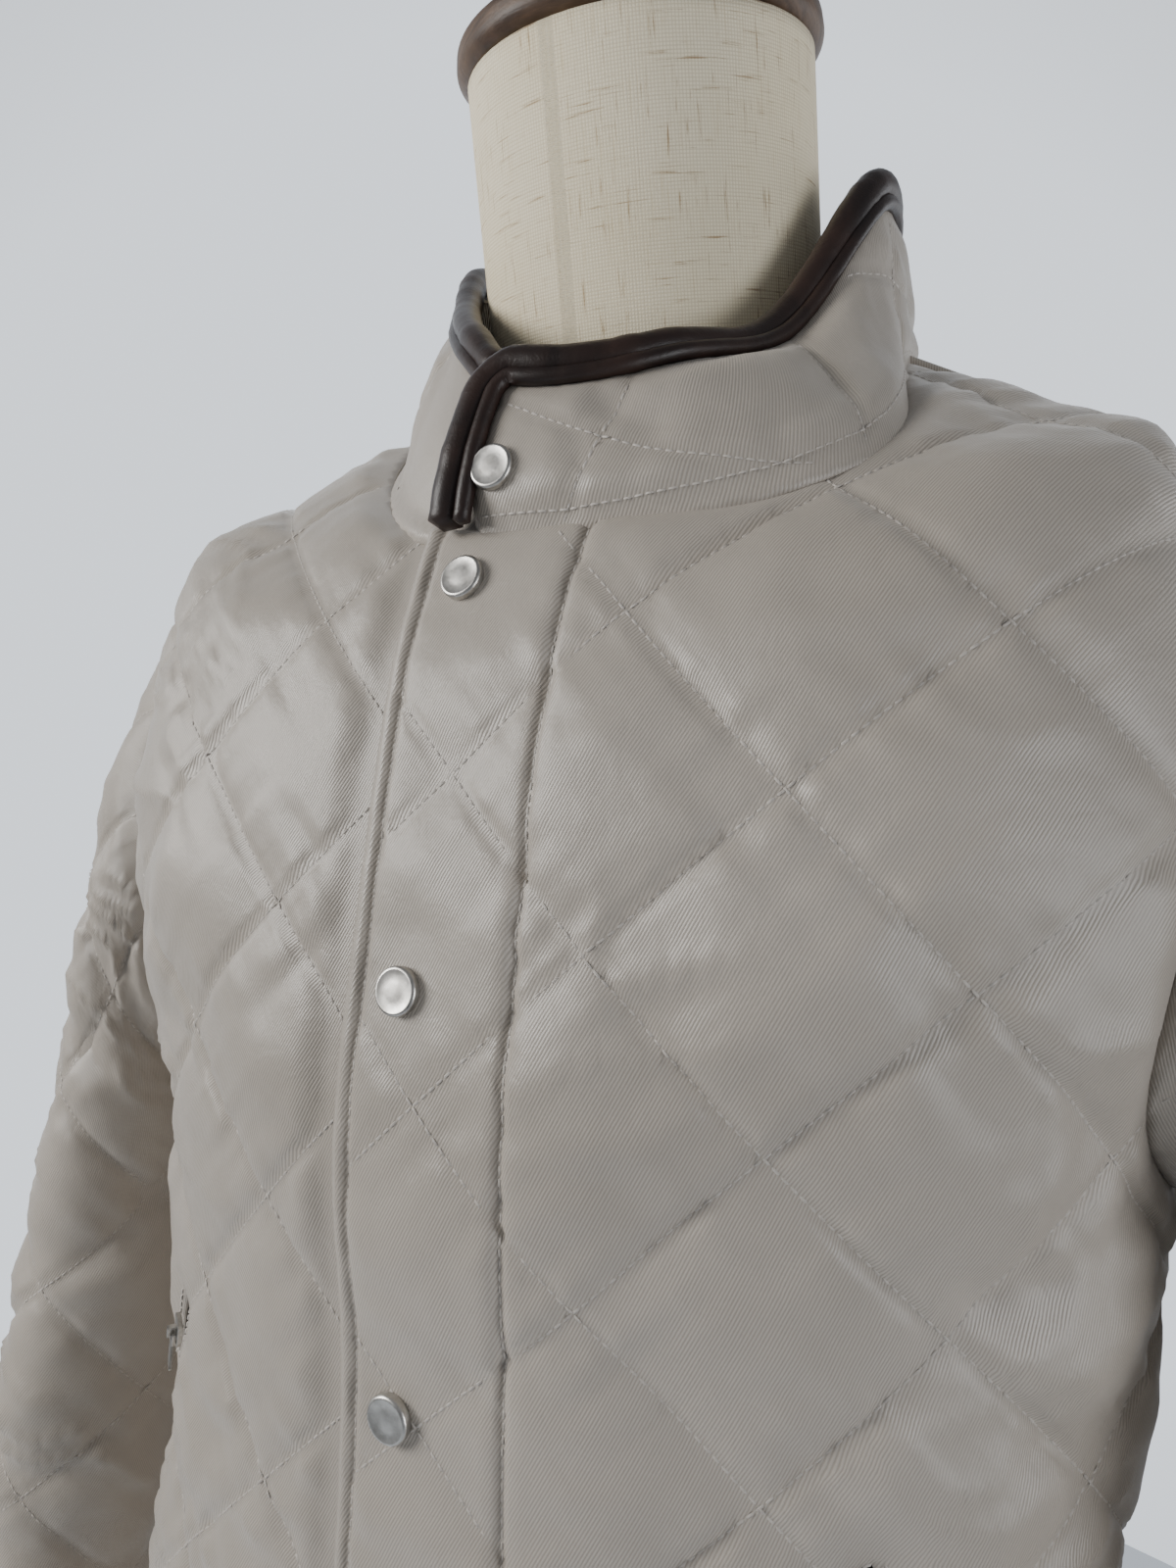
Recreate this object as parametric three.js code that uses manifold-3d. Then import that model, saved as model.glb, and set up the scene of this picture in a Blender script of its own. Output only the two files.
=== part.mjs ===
import * as THREE from 'three';
import { mergeVertices } from 'three/addons/utils/BufferGeometryUtils.js';
import ManifoldModule from 'manifold-3d';

// Kernel for joining and cutting
const kernel = await ManifoldModule();
kernel.setup();

// Main sizes, in mm
const NECK_HEIGHT = 900;
const CLOTH = 2;
const PUFF = 6;
const SEAM_GAP = 0.3;
const FORM_CLEARANCE = 7.2;
const SHOULDER_CLEARANCE = 10;
const QUILT_WIDTH = 100;
const QUILT_HEIGHT = 97;
const QUILT_STEPS = 3;
const PUFF_POWER = 0.55;
const EDGE_FADE = 17;
const SEAM_ANGLE = 0.005;
const COLLAR_SEAM_RISE = 2.8;
const INNER_STEPS = 2;
const BACKING_GAP = 3.2;

// Front closing
const OVERLAP_EDGE = -22;
const UNDER_EDGE = 24;
const OVERLAP_LIFT = 4.8;
const LIFT_FROM = 42;
const LIFT_TO = 90;
const SNAP_DIAMETER = 15;
const SNAP_RISE = 3.2;
const SNAP_LEVELS = [178, 50.5, -77, -204.5, -332];
const COLLAR_SNAP = { u: 5, v: 17.5 };
const SNAP_DIMPLE = 30;
const SNAP_DIMPLE_END = 46;

// Where each panel's diamonds start, in its own cloth measure
const QUILT_START = {
  left: { u: 8.4, v: 116 },
  right: { u: 60.1, v: 71.5 },
  back: { u: 0, v: 90 },
  sleeve: { u: 0, v: 30 },
  collar: { u: 37, v: 24, turn: 20 },
};

// Body sections from hem to neckline, heights from the neck point
const BODY_ROWS = [
  { name: 'hem', zFront: -690, zSide: -690, zBack: -690, half: 212, front: -138, side: -5, back: 124,
    square: 0.07, shift: 0, drop: 2 },
  { name: 'hip', zFront: -560, zSide: -560, zBack: -560, half: 204, front: -136, side: -5, back: 120,
    square: 0.07, shift: 0, drop: 2 },
  { name: 'waist', zFront: -450, zSide: -450, zBack: -450, half: 184, front: -134, side: -5, back: 108,
    square: 0.05, shift: 0, drop: 2 },
  { name: 'rib', zFront: -350, zSide: -350, zBack: -350, half: 195, front: -135, side: -5, back: 113,
    square: 0.02, shift: 0, drop: 2 },
  { name: 'armpit', zFront: -278, zSide: -278, zBack: -278, half: 200, front: -144, side: -3, back: 120,
    square: 0.01, shift: 0, drop: 2 },
  { name: 'chest', zFront: -213, zSide: -170, zBack: -200, half: 215, front: -139, side: 0, back: 120,
    square: 0.09, shift: 0, drop: 2 },
  { name: 'tip', zFront: -138, zSide: -56, zBack: -110, half: 197, front: -129, side: 4, back: 113,
    square: 0.09, shift: 0, drop: 2 },
  { name: 'mid', zFront: -105, zSide: -27, zBack: -50, half: 150, front: -120, side: 4, back: 103,
    square: 0.05, shift: 2, drop: 1.7 },
  { name: 'neck', zFront: -84, zSide: 0, zBack: -8, half: 95, front: -113, side: 2, back: 86,
    square: 0, shift: 6, drop: 1.3 },
];
const BODY_KEYS = ['zFront', 'zSide', 'zBack', 'half', 'front', 'side', 'back', 'square', 'shift', 'drop'];
const ARMPIT_ROW = 4;
const TIP_ROW = 6;
const NECK_ROW = 8;
const NECK_DIP = 0.8;

// Armhole seam: body row against angle round the body, front half then back half
const ARMHOLE_ROWS = [
  { row: 6, angle: 90 }, { row: 5.85, angle: 80 }, { row: 5.55, angle: 71 }, { row: 5.2, angle: 65.5 },
  { row: 4.85, angle: 63 }, { row: 4.5, angle: 65 }, { row: 4.22, angle: 71 }, { row: 4.05, angle: 81 },
  { row: 4, angle: 90 }, { row: 4.05, angle: 99 }, { row: 4.25, angle: 108 }, { row: 4.6, angle: 112 },
  { row: 5, angle: 112 }, { row: 5.35, angle: 109 }, { row: 5.65, angle: 105 }, { row: 5.88, angle: 98 },
];

// Left sleeve sections below the armhole: outer line, inner line, middle and half depth
const SLEEVE_ROWS = [
  { xOut: 222, zOut: -66, xIn: 212, zIn: -284, y: 1, depth: 65 },
  { xOut: 247, zOut: -92, xIn: 219, zIn: -294, y: 8, depth: 75 },
  { xOut: 269, zOut: -140, xIn: 221, zIn: -308, y: 15, depth: 82 },
  { xOut: 285, zOut: -205, xIn: 222, zIn: -326, y: 19, depth: 86 },
  { xOut: 298, zOut: -280, xIn: 223, zIn: -354, y: 17, depth: 85 },
  { xOut: 309, zOut: -370, xIn: 225, zIn: -398, y: 8, depth: 79 },
  { xOut: 319, zOut: -460, xIn: 229, zIn: -469, y: -6, depth: 71 },
  { xOut: 327, zOut: -550, xIn: 239, zIn: -556, y: -21, depth: 63 },
  { xOut: 333, zOut: -632, xIn: 250, zIn: -640, y: -35, depth: 55 },
];

// Collar's top edge, by angle from the front towards the wearer's left
const COLLAR_TOP_ROWS = [
  { angle: -150, x: -46, y: 66, z: 48 }, { angle: -120, x: -80, y: 38, z: 58 },
  { angle: -90, x: -84, y: -8, z: 58 }, { angle: -60, x: -62, y: -51, z: 22 },
  { angle: -30, x: -30, y: -88, z: -10 }, { angle: 0, x: 3, y: -103, z: -36 },
  { angle: 30, x: 45, y: -89, z: -34 }, { angle: 60, x: 74, y: -51, z: -9.5 },
  { angle: 90, x: 93.5, y: -10, z: 57 }, { angle: 120, x: 84, y: 37, z: 58 },
  { angle: 150, x: 50, y: 67, z: 50 }, { angle: 180, x: 1, y: 79, z: 46 },
];
const COLLAR_OVER_ANGLE = -1.5;
const COLLAR_UNDER_ANGLE = 371;
const COLLAR_LIFT_FROM = 32;
const COLLAR_LIFT_TO = 72;
const COLLAR_PUFF = 4;
const COLLAR_LIFT = 9.2;
const COLLAR_BOW = 2.5;
const UNDER_DROP = 9;
const UNDER_DROP_FROM = 346;
const UNDER_PLAIN_FROM = 322;
const COLLAR_EDGE = 0.994;
const FACING = 1;
const FACING_GAP = 3.2;
const FACING_INSET = 2.5;
const BINDING_RADIUS = 5.2;
const BINDING_LIFT = 1.2;
const BINDING_GAP = 1.2;
const BINDING_END_ANGLE = 346;
const PIPING_RADIUS = 2;

// Pocket opening on the right front, in cloth measure; the left one mirrors it
const POCKET_LINE = [
  { u: 136, v: -93 }, { u: 149, v: -124 }, { u: 161, v: -158 }, { u: 173, v: -194 }, { u: 187, v: -242 },
];
const POCKET_HALF = 3.2;
const POCKET_BACKING_HALF = 14;
const POCKET_BACKING = 0.8;

// Elbow patches on the backs of the sleeves
const PATCH = { u: 104, v: 300, halfWidth: 52, halfLength: 84, thick: 1.2, rise: 2.6 };

// Dress form and stand
const FORM_BOTTOM = -745;
const NECK_BASE = { y: -1.8, z: 35.4 };
const NECK_TOP = { y: -25.2, z: 121.3 };
const NECK_RADIUS = 69;
const POLE_RADIUS = 11;
const BASE_RADIUS = 140;

const rad = (d) => (d * Math.PI) / 180;
const clamp = (x, a, b) => Math.min(b, Math.max(a, x));
const smooth = (x) => {
  const t = clamp(x, 0, 1);
  return t * t * (3 - 2 * t);
};
const mix = (a, b, t) => a + (b - a) * t;

// Catmull-Rom through a list of equal-step values
function spline(p0, p1, p2, p3, f) {
  return 0.5 * (2 * p1 + (p2 - p0) * f + (2 * p0 - 5 * p1 + 4 * p2 - p3) * f * f
    + (3 * p1 - p0 - 3 * p2 + p3) * f * f * f);
}

// A table read at a fractional row, with its ends carried on
function readRows(rows, keys, t) {
  const n = rows.length;
  const i = clamp(Math.floor(t), 0, n - 2);
  const f = t - i;
  const at = (k, key) => {
    if (k < 0) return 2 * rows[0][key] - rows[1][key];
    if (k >= n) return 2 * rows[n - 1][key] - rows[n - 2][key];
    return rows[k][key];
  };
  const out = {};
  for (const key of keys) out[key] = spline(at(i - 1, key), at(i, key), at(i + 1, key), at(i + 2, key), f);
  return out;
}

// A closed table read at a fractional row
function readLoop(rows, keys, t) {
  const n = rows.length;
  const i = Math.floor(t);
  const row = (k) => rows[((k % n) + n) % n];
  const out = {};
  for (const key of keys) {
    out[key] = spline(row(i - 1)[key], row(i)[key], row(i + 1)[key], row(i + 2)[key], t - i);
  }
  return out;
}

// Worn body surface: angle 0 at the front middle, a quarter turn at the left side seam
function bodyPoint(angle, t) {
  const r = readRows(BODY_ROWS, BODY_KEYS, t);
  const c = Math.cos(angle);
  const s = Math.sin(angle);
  const m = 1 + r.square * Math.sin(2 * angle) ** 2;
  const y = c > 0 ? r.side + (r.front - r.side) * c * m : r.side - (r.back - r.side) * c * m;
  const z = c > 0 ? r.zSide + (r.zFront - r.zSide) * Math.max(c, 0) ** r.drop
    : r.zSide + (r.zBack - r.zSide) * c * c;
  return [r.half * s * m + r.shift * s * s, y, z + NECK_HEIGHT];
}

// Armhole point: turn 0 at the shoulder tip, half a turn at the armpit, front half first
function armholeAt(turn) {
  const r = readLoop(ARMHOLE_ROWS, ['row', 'angle'], turn * ARMHOLE_ROWS.length);
  return { row: r.row, angle: rad(r.angle) };
}

// Sleeve surface: turn from the outer line, positive to the back; s is 0 at the armhole
const SLEEVE_END = SLEEVE_ROWS.length;
function sleeveRing(k, turn) {
  const q = turn * 2 * Math.PI;
  if (k <= 0) {
    const a = armholeAt(-turn);
    return bodyPoint(a.angle, a.row);
  }
  const r = SLEEVE_ROWS[k - 1];
  const cx = (r.xOut + r.xIn) / 2;
  const cz = (r.zOut + r.zIn) / 2;
  const hx = (r.xOut - r.xIn) / 2;
  const hz = (r.zOut - r.zIn) / 2;
  return [cx + hx * Math.cos(q), r.y + r.depth * Math.sin(q), cz + hz * Math.cos(q) + NECK_HEIGHT];
}
function sleevePoint(turn, s) {
  const i = clamp(Math.floor(s), 0, SLEEVE_END - 1);
  const f = s - i;
  const p1 = sleeveRing(i, turn);
  const p2 = sleeveRing(i + 1, turn);
  const p0 = i > 0 ? sleeveRing(i - 1, turn) : p1.map((v, k) => 2 * v - p2[k]);
  const p3 = i + 2 <= SLEEVE_END ? sleeveRing(i + 2, turn) : p2.map((v, k) => 2 * v - p1[k]);
  return p1.map((v, k) => spline(p0[k], v, p2[k], p3[k], f));
}

// Neck seam: it dips on the wearer's left, where the collar is drawn over
const neckRow = (angle) => NECK_ROW
  - (angle > 0 && angle < Math.PI / 2 ? NECK_DIP * Math.sin(2 * angle) ** 2 : 0);

// Collar surface: angle in degrees, h is 0 at the neck seam and 1 at the top edge
function collarPoint(angle, h) {
  const turn = rad(angle > 180 ? angle - 360 : angle);
  const low = bodyPoint(turn, neckRow(turn));
  const r = readLoop(COLLAR_TOP_ROWS, ['x', 'y', 'z'], (angle + 150) / 30);
  const bow = COLLAR_BOW * Math.sin(Math.PI * h);
  const out = Math.hypot(low[0], low[1]);
  return [mix(low[0], r.x, h) + (bow * low[0]) / out, mix(low[1], r.y, h) + (bow * low[1]) / out,
    mix(low[2], r.z + NECK_HEIGHT, h)];
}

// A curved sheet with its cloth measure (u across, v up), worked out once on a grid
function makeSheet({ point, a0, a1, na, b0, b1, nb, zeroA, zeroB, flatten, level, sharedRow, march }) {
  const P = new Float64Array(na * nb * 3);
  const N = new Float64Array(na * nb * 3);
  const U = new Float64Array(na * nb);
  const V = new Float64Array(na * nb);
  const aAt = (i) => a0 + ((a1 - a0) * i) / (na - 1);
  const bAt = (j) => b0 + ((b1 - b0) * j) / (nb - 1);
  const id = (i, j) => i * nb + j;
  for (let i = 0; i < na; i++) {
    for (let j = 0; j < nb; j++) P.set(point(bAt(j), aAt(i)), 3 * id(i, j));
  }
  const sub = (k, l) => [P[3 * k] - P[3 * l], P[3 * k + 1] - P[3 * l + 1], P[3 * k + 2] - P[3 * l + 2]];
  for (let i = 0; i < na; i++) {
    for (let j = 0; j < nb; j++) {
      const e = sub(id(Math.min(i + 1, na - 1), j), id(Math.max(i - 1, 0), j));
      const f = sub(id(i, Math.min(j + 1, nb - 1)), id(i, Math.max(j - 1, 0)));
      const n = [f[1] * e[2] - f[2] * e[1], f[2] * e[0] - f[0] * e[2], f[0] * e[1] - f[1] * e[0]];
      const l = 1 / Math.hypot(...n);
      N.set([n[0] * l, n[1] * l, n[2] * l], 3 * id(i, j));
    }
  }
  const ia = Math.round(((zeroA - a0) / (a1 - a0)) * (na - 1));
  const jb = Math.round(((zeroB - b0) / (b1 - b0)) * (nb - 1));
  for (let i = 0; i < na; i++) {
    const k = flatten(aAt(i));
    const step = (j, l) => {
      const d = sub(id(i, j), id(i, l));
      return Math.sqrt(d[0] * d[0] + k * d[1] * d[1] + level * d[2] * d[2]);
    };
    for (let j = jb + 1; j < nb; j++) U[id(i, j)] = U[id(i, j - 1)] + step(j, j - 1);
    for (let j = jb - 1; j >= 0; j--) U[id(i, j)] = U[id(i, j + 1)] - step(j, j + 1);
  }
  if (sharedRow) {
    const m = Math.round((na - 1) / 2);
    for (let i = 0; i < na; i++) if (i !== m) for (let j = 0; j < nb; j++) U[id(i, j)] = U[id(m, j)];
  }
  const rise = (i, l, j) => Math.hypot(...sub(id(i, j), id(l, j)));
  // Straight up the cloth from row l to row i: the spot with the same measure across
  const climb = (i, l, j) => {
    const u = U[id(i, j)];
    let k = Math.min(j, nb - 2);
    while (k > 0 && U[id(l, k)] > u) k--;
    while (k < nb - 2 && U[id(l, k + 1)] < u) k++;
    const f = clamp((u - U[id(l, k)]) / (U[id(l, k + 1)] - U[id(l, k)]), 0, 1);
    const at = (c) => mix(P[3 * id(l, k) + c], P[3 * id(l, k + 1) + c], f);
    const ds = Math.hypot(P[3 * id(i, j)] - at(0), P[3 * id(i, j) + 1] - at(1), P[3 * id(i, j) + 2] - at(2));
    const du = u - mix(U[id(l, k)], U[id(l, k + 1)], f);
    const rest = Math.sqrt(Math.max(ds * ds - du * du, 0.04 * ds * ds));
    return [mix(V[id(l, k)], V[id(l, k + 1)], f), rest];
  };
  for (let i = ia + 1; i < na; i++) {
    for (let j = 0; j < nb; j++) {
      const [base, rest] = march ? climb(i, i - 1, j) : [V[id(i - 1, j)], rise(i, i - 1, j)];
      V[id(i, j)] = base + rest;
    }
  }
  for (let i = ia - 1; i >= 0; i--) {
    for (let j = 0; j < nb; j++) {
      const [base, rest] = march ? climb(i, i + 1, j) : [V[id(i + 1, j)], rise(i, i + 1, j)];
      V[id(i, j)] = base - rest;
    }
  }
  const read = (G, w, a, b) => {
    const x = clamp(a, 0, na - 1.0001);
    const y = clamp(b, 0, nb - 1.0001);
    const i = Math.floor(x);
    const j = Math.floor(y);
    const out = [];
    for (let c = 0; c < w; c++) {
      out.push(mix(mix(G[w * id(i, j) + c], G[w * id(i, j + 1) + c], y - j),
        mix(G[w * id(i + 1, j) + c], G[w * id(i + 1, j + 1) + c], y - j), x - i));
    }
    return out;
  };
  const locate = (u, v) => {
    let best = Infinity;
    let a = 0;
    let b = 0;
    for (let i = 0; i < na; i += 6) {
      for (let j = 0; j < nb; j += 5) {
        const d = (U[id(i, j)] - u) ** 2 + (V[id(i, j)] - v) ** 2;
        if (d < best) [best, a, b] = [d, i, j];
      }
    }
    for (let n = 0; n < 14; n++) {
      a = clamp(a, 0.5, na - 1.5);
      b = clamp(b, 0.5, nb - 1.5);
      const at = (G, x, y) => read(G, 1, x, y)[0];
      const ua = at(U, a + 0.5, b) - at(U, a - 0.5, b);
      const ub = at(U, a, b + 0.5) - at(U, a, b - 0.5);
      const va = at(V, a + 0.5, b) - at(V, a - 0.5, b);
      const vb = at(V, a, b + 0.5) - at(V, a, b - 0.5);
      const det = ua * vb - ub * va || 1e-6;
      const du = u - at(U, a, b);
      const dv = v - at(V, a, b);
      a += clamp((du * vb - ub * dv) / det, -6, 6);
      b += clamp((ua * dv - du * va) / det, -6, 6);
      if (Math.abs(du) + Math.abs(dv) < 1e-5) break;
    }
    return [a, b];
  };
  const place = (u, v, w) => {
    const [a, b] = locate(u, v);
    const p = read(P, 3, a, b);
    const n = read(N, 3, a, b);
    const l = w / Math.hypot(...n);
    return [p[0] + n[0] * l, p[1] + n[1] * l, p[2] + n[2] * l];
  };
  const measure = (b, a) => {
    const x = ((a - a0) / (a1 - a0)) * (na - 1);
    const y = ((b - b0) / (b1 - b0)) * (nb - 1);
    return [read(U, 1, x, y)[0], read(V, 1, x, y)[0]];
  };
  return { place, measure };
}

const plain = () => 1;
// Above the armpit the cloth measure across runs level, so the shoulder opens out flat
const bodyFlatten = (t) => smooth((TIP_ROW - t) / (TIP_ROW - ARMPIT_ROW));
const frontSheet = makeSheet({
  point: bodyPoint, a0: 0, a1: NECK_ROW, na: 161, b0: -0.35, b1: Math.PI / 2, nb: 111,
  zeroA: ARMPIT_ROW, zeroB: 0, flatten: bodyFlatten, level: 0, sharedRow: false, march: true,
});
const backSheet = makeSheet({
  point: bodyPoint, a0: 0, a1: NECK_ROW, na: 161, b0: Math.PI / 2, b1: 1.5 * Math.PI, nb: 181,
  zeroA: ARMPIT_ROW, zeroB: Math.PI, flatten: bodyFlatten, level: 0, sharedRow: false, march: true,
});
const sleeveSheet = makeSheet({
  point: sleevePoint, a0: SLEEVE_END, a1: 0, na: 145, b0: -0.5, b1: 0.5, nb: 121,
  zeroA: SLEEVE_END, zeroB: 0, flatten: plain, level: 1, sharedRow: false, march: false,
});
const collarSheet = makeSheet({
  point: collarPoint, a0: 0, a1: 1, na: 21, b0: -20, b1: 380, nb: 241,
  zeroA: 0, zeroB: 0, flatten: plain, level: 1, sharedRow: true, march: false,
});

// Distance from a flat point to a closed outline
function edgeDistance(outlines, u, v) {
  let best = Infinity;
  for (const pts of outlines) {
    for (let i = 0; i < pts.length; i++) {
      const p = pts[i];
      const q = pts[(i + 1) % pts.length];
      const dx = q[0] - p[0];
      const dy = q[1] - p[1];
      const t = clamp(((u - p[0]) * dx + (v - p[1]) * dy) / (dx * dx + dy * dy || 1), 0, 1);
      best = Math.min(best, Math.hypot(u - p[0] - t * dx, v - p[1] - t * dy));
    }
  }
  return best;
}

// Flat point from a point of the diamond grid, and back; a collar's grid is turned
const gridTurn = (start) => rad(start.turn || 0);
function fromGrid(start, x, y) {
  const c = Math.cos(gridTurn(start));
  const s = Math.sin(gridTurn(start));
  return [start.u + x * c - y * s, start.v + x * s + y * c];
}
function toGrid(start, u, v) {
  const c = Math.cos(gridTurn(start));
  const s = Math.sin(gridTurn(start));
  const x = (u - start.u) * c + (v - start.v) * s;
  const y = (v - start.v) * c - (u - start.u) * s;
  return [x / QUILT_WIDTH + y / QUILT_HEIGHT, x / QUILT_WIDTH - y / QUILT_HEIGHT];
}

// Height of the quilting over its stitch lines, from 0 to 1
function quilt(start, u, v) {
  const [a, b] = toGrid(start, u, v);
  return (Math.abs(Math.sin(Math.PI * a) * Math.sin(Math.PI * b))) ** PUFF_POWER;
}

// A solid of the kernel from corners and faces, and back
function toSolid(verts, faces) {
  const mesh = new kernel.Mesh({
    numProp: 3, vertProperties: new Float32Array(verts.flat()), triVerts: new Uint32Array(faces.flat()),
  });
  mesh.merge();
  return new kernel.Manifold(mesh);
}
function fromSolid(solid) {
  const mesh = solid.getMesh();
  const verts = [];
  for (let i = 0; i < mesh.vertProperties.length; i += mesh.numProp) {
    verts.push([mesh.vertProperties[i], mesh.vertProperties[i + 1], mesh.vertProperties[i + 2]]);
  }
  const faces = [];
  for (let i = 0; i < mesh.triVerts.length; i += 3) faces.push([...mesh.triVerts.slice(i, i + 3)]);
  return { verts, faces };
}

// A prism over a flat outline
function prism(pts, z0, z1) {
  const flat = pts.map((p) => new THREE.Vector2(p[0], p[1]));
  const ring = THREE.ShapeUtils.area(flat) < 0 ? flat.reverse() : flat;
  const n = ring.length;
  const verts = [...ring.map((p) => [p.x, p.y, z0]), ...ring.map((p) => [p.x, p.y, z1])];
  const faces = [];
  for (const [a, b, c] of THREE.ShapeUtils.triangulateShape(ring, [])) {
    faces.push([a, c, b], [a + n, b + n, c + n]);
  }
  for (let i = 0; i < n; i++) {
    const j = (i + 1) % n;
    faces.push([i, j, j + n], [i, j + n, i + n]);
  }
  return toSolid(verts, faces);
}

// A block with one face split along the quilt lines; that face is bowed so none of it is dropped
const SLAB = 5;
const BOW = 0.0006;
const FAR = 600;
function facedBlock(box, start, steps, isTop) {
  const cu = (box.u0 + box.u1) / 2;
  const cv = (box.v0 + box.v1) / 2;
  const bow = (u, v) => BOW * ((u - cu) ** 2 + (v - cv) ** 2);
  const nodes = new Map();
  const verts = [];
  const node = (i, j, far) => {
    const key = `${i},${j},${far}`;
    if (!nodes.has(key)) {
      const [x, y] = [(QUILT_WIDTH * (i + j)) / (2 * steps), (QUILT_HEIGHT * (i - j)) / (2 * steps)];
      const [u, v] = fromGrid(start, x, y);
      nodes.set(key, verts.length);
      const near = bow(u, v) + (isTop ? SLAB : 0);
      const away = isTop ? -FAR : FAR;
      verts.push([u, v, far ? away : near]);
    }
    return nodes.get(key);
  };
  const cells = new Set();
  const span = Math.ceil((2 * steps * (box.u1 - box.u0 + box.v1 - box.v0)) / QUILT_HEIGHT) + 6;
  const [ic, jc] = toGrid(start, cu, cv).map((k) => Math.round(k * steps));
  const margin = QUILT_WIDTH / steps;
  for (let i = ic - span; i <= ic + span; i++) {
    for (let j = jc - span; j <= jc + span; j++) {
      const [u, v] = fromGrid(start, (QUILT_WIDTH * (i + j + 1)) / (2 * steps),
        (QUILT_HEIGHT * (i - j)) / (2 * steps));
      if (u > box.u0 - margin && u < box.u1 + margin && v > box.v0 - margin && v < box.v1 + margin) {
        cells.add(`${i},${j}`);
      }
    }
  }
  const faces = [];
  const face = (a, b, c) => faces.push(isTop ? [a, b, c] : [a, c, b]);
  for (const cell of cells) {
    const [i, j] = cell.split(',').map(Number);
    const c = (far) => [node(i, j, far), node(i, j + 1, far), node(i + 1, j + 1, far), node(i + 1, j, far)];
    const t = c(false);
    const b = c(true);
    face(t[0], t[1], t[2]);
    face(t[0], t[2], t[3]);
    face(b[0], b[2], b[1]);
    face(b[0], b[3], b[2]);
    const sides = [[i, j - 1, 3, 0], [i - 1, j, 0, 1], [i, j + 1, 1, 2], [i + 1, j, 2, 3]];
    for (const [si, sj, k, l] of sides) {
      if (!cells.has(`${si},${sj}`)) {
        face(b[k], b[l], t[l]);
        face(b[k], t[l], t[k]);
      }
    }
  }
  return { solid: toSolid(verts, faces), bow };
}

// A cloth piece: the flat slab cut to its outline, then laid on its sheet between two skins
function clothPiece({
  sheet, outline, holes = [], start, steps = QUILT_STEPS, inner = INNER_STEPS, low, high, side = 1,
}) {
  const us = outline.map((p) => p[0]);
  const vs = outline.map((p) => p[1]);
  const box = { u0: Math.min(...us), u1: Math.max(...us), v0: Math.min(...vs), v1: Math.max(...vs) };
  const slab = facedBlock(box, start, steps, true);
  const under = facedBlock(box, start, inner, false);
  let cut = slab.solid.intersect(under.solid).intersect(prism(outline, 1 - FAR, FAR - 1));
  for (const hole of holes) cut = cut.subtract(prism(hole, 2 - FAR, FAR - 2));
  const { verts, faces } = fromSolid(cut);
  const edges = [outline, ...holes];
  const placed = verts.map(([u, v, w]) => {
    const top = w - slab.bow(u, v) > SLAB / 2;
    const p = sheet.place(u, v, top ? high(u, v, edges) : low(u, v));
    return [p[0] * side, p[1], p[2]];
  });
  return meshData(placed, side < 0 ? faces.map(([a, b, c]) => [a, c, b]) : faces);
}

// Geometry from corners and faces
function meshData(verts, faces) {
  const g = new THREE.BufferGeometry();
  g.setAttribute('position', new THREE.BufferAttribute(new Float32Array(verts.flat()), 3));
  g.setIndex(faces.flat());
  return g;
}

// Cloth heights
const frontLift = (u) => OVERLAP_LIFT * (1 - smooth((u - LIFT_FROM) / (LIFT_TO - LIFT_FROM)));
const dimple = (u, v, levels) => levels.reduce(
  (k, s) => k * smooth((Math.hypot(u, v - s) - SNAP_DIMPLE) / (SNAP_DIMPLE_END - SNAP_DIMPLE)), 1);
const puffed = (start, rise, u, v, edges) => CLOTH
  + rise * quilt(start, u, v) * smooth(edgeDistance(edges, u, v) / EDGE_FADE);
const leftTop = (u, v, edges) => {
  const body = puffed(QUILT_START.left, PUFF, u, v, edges) - CLOTH;
  return frontLift(u) + CLOTH + body * dimple(u, v, SNAP_LEVELS);
};
// Outline helpers
const steps = (n) => Array.from({ length: n + 1 }, (_, i) => i / n);
const dropLast = (pts) => pts.slice(0, -1);
const NECK_OFF = 0.05;
const NECK_LINE = NECK_ROW - NECK_OFF;
const HEM_LINE = 0.01;
const TIP_LINE = TIP_ROW + 0.01;

// Armhole as a run of points on a sheet, from the tip to the armpit or back
function armholeRun(sheet, from, to, n, nudge) {
  return steps(n).map((f) => {
    const a = armholeAt(mix(from, to, f));
    return sheet.measure(nudge(a.angle), a.row);
  });
}

// Fronts: edge, neckline, shoulder, armhole, side seam, hem
const FRONT_START = -0.33;
function frontOutline(edge, seamRow) {
  const side = Math.PI / 2 - SEAM_ANGLE;
  const hold = (q) => Math.min(q, side);
  const at = (angle, row) => frontSheet.measure(angle, row);
  const neck = steps(40).map((f) => mix(FRONT_START, side, f)).map((q) => at(q, seamRow(q) - NECK_OFF))
    .filter((p) => p[0] > edge + 2);
  const hem = steps(48).map((f) => at(mix(side, FRONT_START, f), HEM_LINE)).filter((p) => p[0] > edge + 2);
  const thin = (pts, k) => pts.filter((_, i) => i % k === 0 || i === pts.length - 1);
  const neckStart = [edge, neck[0][1] + 0.2];
  const hemEnd = [edge, hem[hem.length - 1][1]];
  return [
    neckStart, ...dropLast(thin(neck, 5)),
    ...dropLast(steps(4).map((f) => at(side, mix(NECK_LINE, TIP_LINE, f)))),
    ...dropLast(armholeRun(frontSheet, 0.004, 0.5, 16, hold)),
    ...dropLast(steps(17).map((f) => at(side, mix(ARMPIT_ROW, HEM_LINE, f)))),
    ...dropLast(thin(hem, 8)), hemEnd,
  ];
}

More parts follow.
